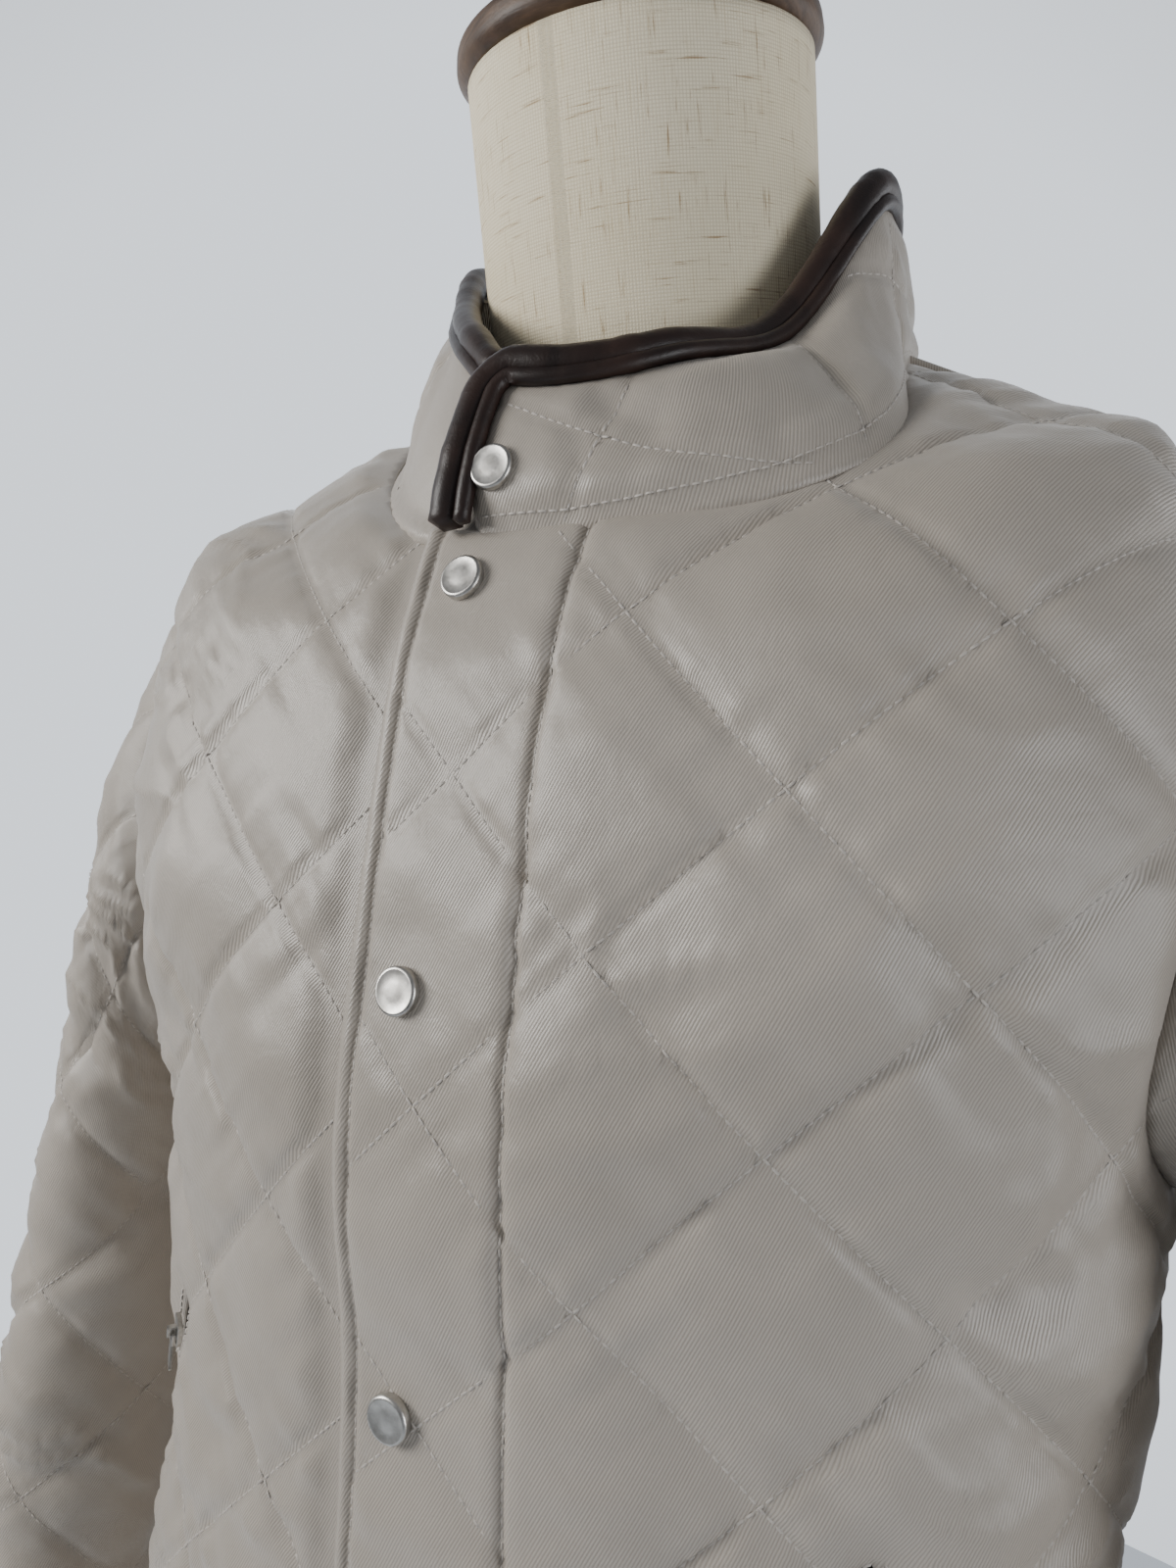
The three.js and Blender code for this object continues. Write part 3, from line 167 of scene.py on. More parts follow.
def read_loop(rows, t):
    """A closed table read at fractional rows."""
    t = np.asarray(t, float)
    n = len(rows)
    i = np.floor(t).astype(int)
    f = (t - i)[..., None]
    return spline(rows[(i - 1) % n], rows[i % n], rows[(i + 1) % n], rows[(i + 2) % n], f)


def body_point(angle, t):
    """Worn body surface: angle 0 at the front middle, a quarter turn at the left side seam."""
    angle, t = np.broadcast_arrays(np.asarray(angle, float), np.asarray(t, float))
    r = dict(zip(BODY_KEYS, np.moveaxis(read_rows(BODY_ROWS, t), -1, 0)))
    c = np.cos(angle)
    s = np.sin(angle)
    m = 1 + r["square"] * np.sin(2 * angle) ** 2
    front = c > 0
    y = np.where(front, r["side"] + (r["front"] - r["side"]) * c * m, r["side"] - (r["back"] - r["side"]) * c * m)
    z = np.where(front, r["z_side"] + (r["z_front"] - r["z_side"]) * np.maximum(c, 0) ** r["drop"],
                 r["z_side"] + (r["z_back"] - r["z_side"]) * c * c)
    return np.stack([r["half"] * s * m + r["shift"] * s * s, y, z + NECK_HEIGHT], -1)


def armhole_at(turn):
    r = read_loop(ARMHOLE_ROWS, np.asarray(turn, float) * len(ARMHOLE_ROWS))
    return r[..., 0], np.radians(r[..., 1])


def sleeve_rings(turn):
    """Each ring of the sleeve at the given turns, the armhole first."""
    row, angle = armhole_at(-turn)
    rings = [body_point(angle, row)]
    q = turn * 2 * np.pi
    for x_out, z_out, x_in, z_in, y, depth in SLEEVE_ROWS:
        hx, hz = (x_out - x_in) / 2, (z_out - z_in) / 2
        rings.append(np.stack([(x_out + x_in) / 2 + hx * np.cos(q), y + depth * np.sin(q),
                               (z_out + z_in) / 2 + hz * np.cos(q) + NECK_HEIGHT], -1))
    return np.stack(rings)


def sleeve_point(turn, s):
    turn, s = np.broadcast_arrays(np.asarray(turn, float), np.asarray(s, float))
    shape = turn.shape
    turn, s = turn.ravel(), s.ravel()
    rings = sleeve_rings(turn)
    rings = np.concatenate([2 * rings[:1] - rings[1:2], rings, 2 * rings[-1:] - rings[-2:-1]])
    i = np.clip(np.floor(s).astype(int), 0, SLEEVE_END - 1)
    k = np.arange(len(turn))
    p = spline(rings[i, k], rings[i + 1, k], rings[i + 2, k], rings[i + 3, k], (s - i)[:, None])
    return p.reshape(shape + (3,))


def neck_row(angle):
    """The neck seam's row: it dips on the wearer's left, where the collar is drawn over."""
    return NECK_ROW - np.where((angle > 0) & (angle < math.pi / 2), NECK_DIP * np.sin(2 * angle) ** 2, 0)


def collar_point(angle, h):
    angle, h = np.broadcast_arrays(np.asarray(angle, float), np.asarray(h, float))
    turn = np.radians(np.where(angle > 180, angle - 360, angle))
    low = body_point(turn, neck_row(turn))
    top = read_loop(COLLAR_TOP_ROWS, (angle + 150) / 30)
    out = np.hypot(low[..., 0], low[..., 1])
    bow = COLLAR_BOW * np.sin(np.pi * h) / out
    return np.stack([mix(low[..., 0], top[..., 0], h) + bow * low[..., 0],
                     mix(low[..., 1], top[..., 1], h) + bow * low[..., 1],
                     mix(low[..., 2], top[..., 2] + NECK_HEIGHT, h)], -1)


class Sheet:
    """A curved sheet with its cloth measure (u across, v up), worked out once on a grid."""

    def __init__(self, point, a, na, b, nb, zero_a, zero_b, flatten=None, level=1, shared_row=False, march=False):
        self.a, self.b, self.na, self.nb = a, b, na, nb
        rows = np.linspace(a[0], a[1], na)
        cols = np.linspace(b[0], b[1], nb)
        P = point(*np.meshgrid(cols, rows))
        e = np.empty_like(P)
        f = np.empty_like(P)
        e[1:-1], e[0], e[-1] = P[2:] - P[:-2], P[1] - P[0], P[-1] - P[-2]
        f[:, 1:-1], f[:, 0], f[:, -1] = P[:, 2:] - P[:, :-2], P[:, 1] - P[:, 0], P[:, -1] - P[:, -2]
        N = np.cross(f, e)
        N /= np.linalg.norm(N, axis=-1, keepdims=True)
        ia = round((zero_a - a[0]) / (a[1] - a[0]) * (na - 1))
        jb = round((zero_b - b[0]) / (b[1] - b[0]) * (nb - 1))
        k = np.ones(na) if flatten is None else flatten(rows)
        d = P[:, 1:] - P[:, :-1]
        step = np.sqrt(d[..., 0] ** 2 + k[:, None] * d[..., 1] ** 2 + level * d[..., 2] ** 2)
        U = np.concatenate([np.zeros((na, 1)), np.cumsum(step, 1)], 1)
        U -= U[:, jb:jb + 1]
        if shared_row:
            U[:] = U[(na + ia) // 2]
        V = np.zeros((na, nb))
        for rng, back, sign in ((range(ia + 1, na), -1, 1), (range(ia - 1, -1, -1), 1, -1)):
            for i in rng:
                V[i] = self.climb(P, U, V, i, i + back, sign, march)
        self.P, self.N, self.U, self.V = P, N, U, V

    @staticmethod
    def climb(P, U, V, i, l, sign, march):
        """The measure up row i from row l, straight up the cloth where march is on."""
        if not march:
            return V[l] + sign * np.linalg.norm(P[i] - P[l], axis=-1)
        u = U[i]
        k = np.clip(np.searchsorted(U[l], u) - 1, 0, len(u) - 2)
        f = np.clip((u - U[l, k]) / (U[l, k + 1] - U[l, k]), 0, 1)
        at = P[l, k] + (P[l, k + 1] - P[l, k]) * f[:, None]
        ds = np.linalg.norm(P[i] - at, axis=-1)
        du = u - mix(U[l, k], U[l, k + 1], f)
        rest = np.sqrt(np.maximum(ds ** 2 - du ** 2, 0.04 * ds ** 2))
        return mix(V[l, k], V[l, k + 1], f) + sign * rest

    def read(self, G, x, y):
        x = np.clip(x, 0, self.na - 1.0001)
        y = np.clip(y, 0, self.nb - 1.0001)
        i = x.astype(int)
        j = y.astype(int)
        fx, fy = x - i, y - j
        if G.ndim == 3:
            fx, fy = fx[:, None], fy[:, None]
        return mix(mix(G[i, j], G[i, j + 1], fy), mix(G[i + 1, j], G[i + 1, j + 1], fy), fx)

    def locate(self, u, v):
        gi, gj = np.meshgrid(np.arange(0, self.na, 6), np.arange(0, self.nb, 5), indexing="ij")
        gi, gj = gi.ravel(), gj.ravel()
        gu, gv = self.U[gi, gj], self.V[gi, gj]
        a = np.empty(len(u))
        b = np.empty(len(u))
        for s in range(0, len(u), 4000):
            c = slice(s, s + 4000)
            best = np.argmin((gu - u[c, None]) ** 2 + (gv - v[c, None]) ** 2, 1)
            a[c], b[c] = gi[best], gj[best]
        for _ in range(14):
            a = np.clip(a, 0.5, self.na - 1.5)
            b = np.clip(b, 0.5, self.nb - 1.5)
            ua = self.read(self.U, a + 0.5, b) - self.read(self.U, a - 0.5, b)
            ub = self.read(self.U, a, b + 0.5) - self.read(self.U, a, b - 0.5)
            va = self.read(self.V, a + 0.5, b) - self.read(self.V, a - 0.5, b)
            vb = self.read(self.V, a, b + 0.5) - self.read(self.V, a, b - 0.5)
            det = ua * vb - ub * va
            det = np.where(np.abs(det) < 1e-6, 1e-6, det)
            du = u - self.read(self.U, a, b)
            dv = v - self.read(self.V, a, b)
            a = a + np.clip((du * vb - ub * dv) / det, -6, 6)
            b = b + np.clip((ua * dv - du * va) / det, -6, 6)
        return a, b

    def place(self, u, v, w):
        u, v, w = np.broadcast_arrays(*(np.asarray(x, float) for x in (u, v, w)))
        shape = u.shape
        a, b = self.locate(u.ravel(), v.ravel())
        n = self.read(self.N, a, b)
        n /= np.linalg.norm(n, axis=-1, keepdims=True)
        return (self.read(self.P, a, b) + n * w.reshape(-1, 1)).reshape(shape + (3,))

    def measure(self, b, a):
        x = (np.atleast_1d(np.asarray(a, float)) - self.a[0]) / (self.a[1] - self.a[0]) * (self.na - 1)
        y = (np.atleast_1d(np.asarray(b, float)) - self.b[0]) / (self.b[1] - self.b[0]) * (self.nb - 1)
        x, y = np.broadcast_arrays(x, y)
        return np.stack([self.read(self.U, x, y), self.read(self.V, x, y)], -1)


def body_flatten(t):
    return smooth((TIP_ROW - t) / (TIP_ROW - ARMPIT_ROW))


front_sheet = Sheet(body_point, (0, NECK_ROW), 161, (-0.35, math.pi / 2), 111, ARMPIT_ROW, 0,
                    flatten=body_flatten, level=0, march=True)
back_sheet = Sheet(body_point, (0, NECK_ROW), 161, (math.pi / 2, 1.5 * math.pi), 181, ARMPIT_ROW, math.pi,
                   flatten=body_flatten, level=0, march=True)
sleeve_sheet = Sheet(sleeve_point, (SLEEVE_END, 0), 145, (-0.5, 0.5), 121, SLEEVE_END, 0)
collar_sheet = Sheet(collar_point, (-0.12, 1), 29, (-20, 380), 241, 0, 0, shared_row=True)


# Flat helpers
def edge_distance(outlines, u, v):
    """Distance of flat points from closed outlines."""
    best = np.full(u.shape, np.inf)
    for pts in outlines:
        for p, q in zip(pts, np.roll(pts, -1, 0)):
            d = q - p
            t = np.clip(((u - p[0]) * d[0] + (v - p[1]) * d[1]) / max(d @ d, 1e-9), 0, 1)
            best = np.minimum(best, np.hypot(u - p[0] - t * d[0], v - p[1] - t * d[1]))
    return best


def inside(pts, u, v):
    """Whether flat points lie inside a closed outline."""
    odd = np.zeros(u.shape, bool)
    for p, q in zip(pts, np.roll(pts, -1, 0)):
        if p[1] == q[1]:
            continue
        crosses = (p[1] > v) != (q[1] > v)
        odd ^= crosses & (u < p[0] + (v - p[1]) * (q[0] - p[0]) / (q[1] - p[1]))
    return odd


def along(pts, step, closed=True):
    """The points of a run of straight stretches, filled in every step."""
    pts = np.asarray(pts, float)
    ends = np.vstack([pts, pts[:1]]) if closed else pts
    out = []
    for p, q in zip(ends[:-1], ends[1:]):
        n = max(1, int(np.ceil(np.hypot(*(q - p)) / step)))
        out += [p + (q - p) * k / n for k in range(n)]
    if not closed:
        out.append(ends[-1])
    return np.array(out)


def lattice(start, u, v, turn=0.0):
    x = (u - start[0]) * math.cos(turn) + (v - start[1]) * math.sin(turn)
    y = (v - start[1]) * math.cos(turn) - (u - start[0]) * math.sin(turn)
    return x / QUILT_WIDTH + y / QUILT_HEIGHT, x / QUILT_WIDTH - y / QUILT_HEIGHT


def lattice_point(start, a, b, turn=0.0):
    x = QUILT_WIDTH * (a + b) / 2
    y = QUILT_HEIGHT * (a - b) / 2
    return start[0] + x * math.cos(turn) - y * math.sin(turn), start[1] + x * math.sin(turn) + y * math.cos(turn)


def cell_value(a, b, seed):
    """A steady number from 0 to 1 for each cell of a lattice."""
    h = np.sin(np.floor(a) * 127.1 + np.floor(b) * 311.7 + seed * 74.7) * 43758.5453
    return h - np.floor(h)


def soft_noise(x, y, seed):
    """Smooth noise from -1 to 1 at a spacing of one unit."""
    xi, yi = np.floor(x), np.floor(y)
    fx, fy = smooth(x - xi), smooth(y - yi)
    at = lambda i, j: cell_value(xi + i, yi + j, seed)
    return 2 * mix(mix(at(0, 0), at(1, 0), fx), mix(at(0, 1), at(1, 1), fx), fy) - 1


CELL = 1 / math.hypot(1 / QUILT_WIDTH, 1 / QUILT_HEIGHT)


def quilted(start, rise, u, v, seed, turn=0.0):
    """Quilted height over the stitch lines, with puckers beside them."""
    a, b = lattice(start, u, v, turn)
    q = np.abs(np.sin(np.pi * a) * np.sin(np.pi * b)) ** PUFF_POWER
    full = 0.86 + 0.28 * cell_value(a, b, seed)
    da = np.abs(a - np.round(a)) * CELL
    db = np.abs(b - np.round(b)) * CELL
    pucker = 0
    for dist, run, line in ((da, b, np.round(a)), (db, a, np.round(b))):
        ripple = soft_noise(run * CELL / 7.5, line * 3.7, seed + 5) + 0.5 * soft_noise(run * CELL / 3.8, line * 5.1, seed + 9)
        pucker = pucker + ripple * np.exp(-dist / 16) * smooth(dist / 2.0)
    swell = 1.1 * soft_noise(u / 34, v / 21, seed + 2) + 0.8 * soft_noise(u / 19, v / 9, seed + 3)
    return rise * q * full + 1.25 * pucker + swell * q


def crumpled(u, v, seed, slant, size, deep):
    """Uneven soft ridges that run along a slant, stronger in some places than in others."""
    c, s = math.cos(slant), math.sin(slant)
    x = (u * c + v * s) / (3.4 * size)
    y = (v * c - u * s) / size
    warp = 0.8 * soft_noise(u / (2.2 * size), v / (2.2 * size), seed + 1)
    ridge = 1 - 2 * np.abs(soft_noise(x, y + warp, seed))
    where = smooth(0.5 + 0.9 * soft_noise(u / (4.5 * size), v / (4.5 * size), seed + 2))
    return deep * ridge * np.abs(ridge) * where


def creased(u, v, table):
    """Soft troughs and ridges, listed one by one."""
    h = np.zeros(u.shape)
    for u0, v0, u1, v1, wide, deep in table:
        du, dv = u1 - u0, v1 - v0
        long = math.hypot(du, dv)
        s = ((u - u0) * du + (v - v0) * dv) / long ** 2
        off = ((u - u0) * dv - (v - v0) * du) / long
        bend = 0.08 * long * np.sin(np.pi * np.clip(s, 0, 1))
        h += deep * np.exp(-((off - bend) / wide) ** 2) * smooth(4 * np.minimum(s, 1 - s))
    return h


# Meshes
def mesh_object(name, verts, faces, uvs=None, shade=True):
    mesh = bpy.data.meshes.new(name)
    mesh.from_pydata((np.asarray(verts) * MM).tolist(), [], [list(map(int, f)) for f in faces])
    if uvs is not None:
        layer = mesh.uv_layers.new(name="cloth")
        index = np.zeros(len(mesh.loops), int)
        mesh.loops.foreach_get("vertex_index", index)
        layer.data.foreach_set("uv", (np.asarray(uvs)[index] * MM).ravel())
    if shade:
        mesh.polygons.foreach_set("use_smooth", [True] * len(mesh.polygons))
    mesh.validate()
    mesh.update()
    obj = bpy.data.objects.new(name, mesh)
    bpy.context.scene.collection.objects.link(obj)
    return obj


def finish_piece(obj, material, nodes=(), body=BODY):
    obj.data.materials.clear()
    obj.data.materials.append(material)
    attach(obj, body)
    if nodes:
        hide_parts(*nodes)
    return obj


def cloth_panel(name, sheet, outline, start, high, low, side=1, holes=(), steps=None, turn=0.0,
                lines=()):
    """A cloth wall cut to its outline in flat cloth and laid on its sheet, finer along marked lines."""
    n = steps or GRID_STEPS
    step = CELL / n
    outline = along(outline, step)
    holes = [along(h, step) for h in holes]
    edges = [outline, *holes]
    u0, v0 = outline.min(0)
    u1, v1 = outline.max(0)
    span = int((u1 - u0 + v1 - v0) / step) + 2 * n
    ci, cj = lattice(start, (u0 + u1) / 2, (v0 + v1) / 2, turn)
    i, j = np.meshgrid(np.arange(-span, span + 1) + round(ci * n), np.arange(-span, span + 1) + round(cj * n))
    u, v = lattice_point(start, i.ravel() / n, j.ravel() / n, turn)
    keep = (u > u0) & (u < u1) & (v > v0) & (v < v1)
    u, v = u[keep], v[keep]
    keep = inside(outline, u, v)
    for h in holes:
        keep &= ~inside(h, u, v)
    u, v = u[keep], v[keep]
    marked = np.zeros((0, 2))
    if lines:
        rows = [np.stack([np.full(len(vs), c + off), vs], 1) for c in lines for off in (-3.4, -2, -0.9, 0, 0.9, 2, 3.4)
                for vs in (np.arange(v0, v1, step * 0.9),)]
        marked = np.vstack(rows)
        marked = marked[inside(outline, marked[:, 0], marked[:, 1])]
        for c in lines:
            away = np.abs(u - c) > 3.4 + 0.5 * step
            u, v = u[away], v[away]
    u, v = np.concatenate([u, marked[:, 0]]), np.concatenate([v, marked[:, 1]])
    keep = edge_distance(edges, u, v) > np.where(np.arange(len(u)) < len(u) - len(marked), 0.55 * step, 0.7)
    pts = [Vector(p) for p in np.stack([u[keep], v[keep]], 1)]
    bounds = []
    for ring in edges:
        first = len(pts)
        pts += [Vector(p) for p in ring]
        bounds += [(first + k, first + (k + 1) % len(ring)) for k in range(len(ring))]
    flat, _, tris, _, _, _ = delaunay_2d_cdt(pts, bounds, [], 0, 1e-5)
    flat = np.array([tuple(p) for p in flat])
    tris = np.array(tris)
    mid = flat[tris].mean(1)
    good = inside(outline, mid[:, 0], mid[:, 1])
    for h in holes:
        good &= ~inside(h, mid[:, 0], mid[:, 1])
    tris = tris[good]
    used = np.unique(tris)
    remap = np.full(len(flat), -1)
    remap[used] = np.arange(len(used))
    flat, tris = flat[used], remap[tris]
    d = edge_distance(edges, flat[:, 0], flat[:, 1])
    top = sheet.place(flat[:, 0], flat[:, 1], high(flat[:, 0], flat[:, 1], d))
    under = sheet.place(flat[:, 0], flat[:, 1], low(flat[:, 0], flat[:, 1]))
    count = len(flat)
    half = np.concatenate([tris[:, [0, 1]], tris[:, [1, 2]], tris[:, [2, 0]]])
    key = half[:, 0] * count + half[:, 1]
    back = half[:, 1] * count + half[:, 0]
    rim = half[~np.isin(key, back)]
    sides = np.stack([rim[:, 1], rim[:, 0], rim[:, 0] + count, rim[:, 1] + count], 1)
    faces = tris.tolist() + (tris[:, ::-1] + count).tolist() + sides.tolist()
    verts = np.vstack([top, under])
    if side < 0:
        verts[:, 0] *= -1
        faces = [f[::-1] for f in faces]
    return mesh_object(name, verts, faces, np.vstack([flat, flat]))


def stitch_run(points, normals, pitch=STITCH_PITCH, long=STITCH_LONG, wide=STITCH_WIDE):
    """Small pointed stitches laid end to end along a run of points on the cloth."""
    gaps = np.linalg.norm(np.diff(points, axis=0), axis=1)
    s = np.concatenate([[0], np.cumsum(gaps)])
    centres = np.arange(pitch / 2, s[-1] - long / 2, pitch)
    if len(centres) == 0:
        return np.zeros((0, 3)), np.zeros((0, 3), int)
    at = lambda x: np.stack([np.interp(x, s, points[:, k]) for k in range(3)], -1)
    nrm = np.stack([np.interp(centres, s, normals[:, k]) for k in range(3)], -1)
    c = at(centres)
    t = at(centres + long / 2) - at(centres - long / 2)
    t /= np.linalg.norm(t, axis=1, keepdims=True)
    b = np.cross(nrm, t)
    b /= np.linalg.norm(b, axis=1, keepdims=True)
    ring = []
    for f, w in ((-0.5, 0), (-0.3, 1), (0.3, 1), (0.5, 0)):
        if w == 0:
            ring.append(c + t * long * f - nrm * 0.3)
        else:
            ring += [c + t * long * f + b * wide / 2, c + t * long * f + nrm * 0.35, c + t * long * f - b * wide / 2]
    verts = np.stack(ring, 1).reshape(-1, 3)
    one = np.array([[0, 2, 1], [0, 3, 2], [1, 2, 5], [1, 5, 4], [2, 3, 6], [2, 6, 5], [4, 5, 7], [5, 6, 7]])
    faces = (one[None] + 8 * np.arange(len(c))[:, None, None]).reshape(-1, 3)
    return verts, faces


def stitched(name, sheet, runs, height, side, material):
    """All the stitch runs of one panel as one joined mesh."""
    all_verts, all_faces, count = [], [], 0
    for run in runs:
        if len(run) < 2:
            continue
        u, v = run[:, 0], run[:, 1]
        w = height(u, v)
        p = sheet.place(u, v, w)
        n = sheet.place(u, v, w + 1) - p
        if side < 0:
            p, n = p * [-1, 1, 1], n * [-1, 1, 1]
        verts, faces = stitch_run(p, n)
        all_verts.append(verts)
        all_faces.append(faces + count)
        count += len(verts)
    obj = mesh_object(name, np.vstack(all_verts), np.vstack(all_faces), shade=True)
    return finish_piece(obj, material)


def quilt_runs(start, outline, holes, keep_off=4, skip=None, turn=0.0):
    """Stretches of the quilt lines that lie on a panel."""
    outline = np.asarray(outline, float)
    u0, v0 = outline.min(0)
    u1, v1 = outline.max(0)
    corners = [lattice(start, u, v, turn) for u in (u0, u1) for v in (v0, v1)]
    lows, highs = np.floor(np.min(corners, 0)), np.ceil(np.max(corners, 0))
    runs = []
    for family in (0, 1):
        along_line = np.arange(lows[1 - family], highs[1 - family], 1.5 / CELL / 2)
        for k in np.arange(lows[family], highs[family] + 1):
            fixed = np.full(along_line.shape, k)
            pair = (fixed, along_line) if family == 0 else (along_line, fixed)
            u, v = lattice_point(start, *pair, turn)
            ok = inside(outline, u, v) & (edge_distance([outline, *holes], u, v) > keep_off)
            for h in holes:
                ok &= ~inside(h, u, v)
            if skip is not None:
                ok &= ~skip(u, v)
            cuts = np.flatnonzero(np.diff(ok.astype(int)))
            for part in np.split(np.arange(len(u)), cuts + 1):
                if ok[part[0]] and len(part) > 3:
                    runs.append(np.stack([u[part], v[part]], 1))
    return runs


def tube(name, points, radius, sides=16, caps=True, uvs=True):
    """A round roll along a run of points; radius may change along it."""
    pts = np.asarray(points, float)
    radius = np.broadcast_to(np.asarray(radius, float), (len(pts),))
    t = np.gradient(pts, axis=0)
    t /= np.linalg.norm(t, axis=1, keepdims=True)
    up = np.array([0.31, 0.22, 0.92])
    verts, coords = [], []
    s = np.concatenate([[0], np.cumsum(np.linalg.norm(np.diff(pts, axis=0), axis=1))])
    for i in range(len(pts)):
        e = up - t[i] * (up @ t[i])
        e /= np.linalg.norm(e)
        f = np.cross(t[i], e)
        up = e
        for k in range(sides):
            q = 2 * math.pi * k / sides
            verts.append(pts[i] + radius[i] * (e * math.cos(q) + f * math.sin(q)))
            coords.append((s[i], radius[i] * q))
    faces = []
    for i in range(len(pts) - 1):
        for k in range(sides):
            a, b = i * sides + k, i * sides + (k + 1) % sides
            faces.append((a, b, b + sides, a + sides))
    if caps:
        for i, sign in ((0, -1), (len(pts) - 1, 1)):
            centre = len(verts)
            verts.append(pts[i] + sign * t[i] * radius[i] * 0.5)
            coords.append((s[i], 0))
            for k in range(sides):
                a, b = i * sides + k, i * sides + (k + 1) % sides
                faces.append((centre, a, b) if sign > 0 else (centre, b, a))
    return mesh_object(name, verts, faces, coords if uvs else None)


def lathe(name, profile, sides, place=None, uvs=True):
    """A turned piece from its profile of radius and height, closed on its axis."""
    profile = np.asarray(profile, float)
    verts, coords = [], []
    run = np.concatenate([[0], np.cumsum(np.linalg.norm(np.diff(profile, axis=0), axis=1))])
    for (r, z), s in zip(profile[1:-1], run[1:-1]):
        for k in range(sides):
            q = 2 * math.pi * k / sides
            verts.append((r * math.cos(q), r * math.sin(q), z))
            coords.append((r * q, s))
    rings = len(profile) - 2
    faces = []
    for i in range(rings - 1):
        for k in range(sides):
            a, b = i * sides + k, i * sides + (k + 1) % sides
            faces.append((a, b, b + sides, a + sides))
    low, top = len(verts), len(verts) + 1
    verts += [(0, 0, profile[0][1]), (0, 0, profile[-1][1])]
    coords += [(0, 0), (0, run[-1])]
    for k in range(sides):
        a, b = k, (k + 1) % sides
        faces.append((low, b, a))
        faces.append((top, (rings - 1) * sides + a, (rings - 1) * sides + b))
    verts = np.array(verts)
    if place is not None:
        m = np.array(place)
        verts = verts @ m[:3, :3].T + m[:3, 3]
    return mesh_object(name, verts, faces, coords if uvs else None)


def rounded(profile, radius, count=4):
    """A profile with its corners rounded."""
    p = [np.array(q, float) for q in profile]
    out = [p[0]]
    for a, b, c in zip(p[:-2], p[1:-1], p[2:]):
        r = min(radius, 0.45 * np.linalg.norm(a - b), 0.45 * np.linalg.norm(c - b))
        s = b + (a - b) / np.linalg.norm(a - b) * r
        e = b + (c - b) / np.linalg.norm(c - b) * r
        for k in range(count + 1):
            t = k / count
            out.append((1 - t) ** 2 * s + 2 * t * (1 - t) * b + t * t * e)
    out.append(p[-1])
    return out


# Materials
class Nodes:
    """A small helper that wires a material's nodes."""

    def __init__(self, name):
        self.material = bpy.data.materials.new(name)
        self.material.use_nodes = True
        self.tree = self.material.node_tree
        self.shader = self.tree.nodes["Principled BSDF"]
        self.uv = None

    def node(self, kind, **values):
        n = self.tree.nodes.new(kind)
        for k, v in values.items():
            setattr(n, k, v)
        return n

    def link(self, a, b):
        self.tree.links.new(a, b)

    def coords(self, space="UV"):
        return self.node("ShaderNodeTexCoord").outputs[space]

    def mapped(self, source, scale=(1, 1, 1), turn=0.0):
        m = self.node("ShaderNodeMapping")
        m.inputs["Scale"].default_value = scale
        m.inputs["Rotation"].default_value = (0, 0, turn)
        self.link(source, m.inputs["Vector"])
        return m.outputs["Vector"]

    def noise(self, source, scale, detail=3.0, rough=0.55, distort=0.0):
        n = self.node("ShaderNodeTexNoise")
        n.inputs["Scale"].default_value = scale
        n.inputs["Detail"].default_value = detail
        n.inputs["Roughness"].default_value = rough
        n.inputs["Distortion"].default_value = distort
        self.link(source, n.inputs["Vector"])
        return n.outputs["Fac"]

    def wave(self, source, scale, turn=0.0, distort=0.0, profile="SIN"):
        w = self.node("ShaderNodeTexWave", wave_type="BANDS", bands_direction="X", wave_profile=profile)
        w.inputs["Scale"].default_value = scale
        w.inputs["Distortion"].default_value = distort
        w.inputs["Detail"].default_value = 1.0
        w.inputs["Detail Scale"].default_value = 1.5
        self.link(self.mapped(source, turn=turn), w.inputs["Vector"])
        return w.outputs["Fac"]

    def ramp(self, source, stops):
        r = self.node("ShaderNodeValToRGB")
        el = r.color_ramp.elements
        while len(el) < len(stops):
            el.new(0.5)
        for e, (pos, colour) in zip(el, stops):
            e.position = pos
            e.color = (*colour, 1)
        self.link(source, r.inputs["Fac"])
        return r.outputs["Color"]

    def math(self, kind, a, b=None):
        m = self.node("ShaderNodeMath", operation=kind)
        for k, x in enumerate((a, b)):
            if x is None:
                continue
            if isinstance(x, (int, float)):
                m.inputs[k].default_value = x
            else:
                self.link(x, m.inputs[k])
        return m.outputs[0]

    def blend(self, kind, fac, a, b):
        m = self.node("ShaderNodeMix", data_type="RGBA", blend_type=kind)
        for sock, x in ((m.inputs["Factor"], fac), (m.inputs[6], a), (m.inputs[7], b)):
            if isinstance(x, (int, float)):
                sock.default_value = x
            elif isinstance(x, tuple):
                sock.default_value = (*x, 1)
            else:
                self.link(x, sock)
        return m.outputs[2]

    def bump(self, *layers):
        normal = None
        for height, strength, distance in layers:
            b = self.node("ShaderNodeBump")
            b.inputs["Strength"].default_value = strength
            b.inputs["Distance"].default_value = distance
            self.link(height, b.inputs["Height"])
            if normal is not None:
                self.link(normal, b.inputs["Normal"])
            normal = b.outputs["Normal"]
        self.link(normal, self.shader.inputs["Normal"])

    def set(self, **values):
        for k, v in values.items():
            self.shader.inputs[k.replace("_", " ")].default_value = v

    def remap(self, source, low, high):
        r = self.node("ShaderNodeMapRange")
        r.inputs["To Min"].default_value = low
        r.inputs["To Max"].default_value = high
        self.link(source, r.inputs["Value"])
        return r.outputs["Result"]


TWILL_PITCH = 0.00094
TWILL_TURN = math.radians(-64)


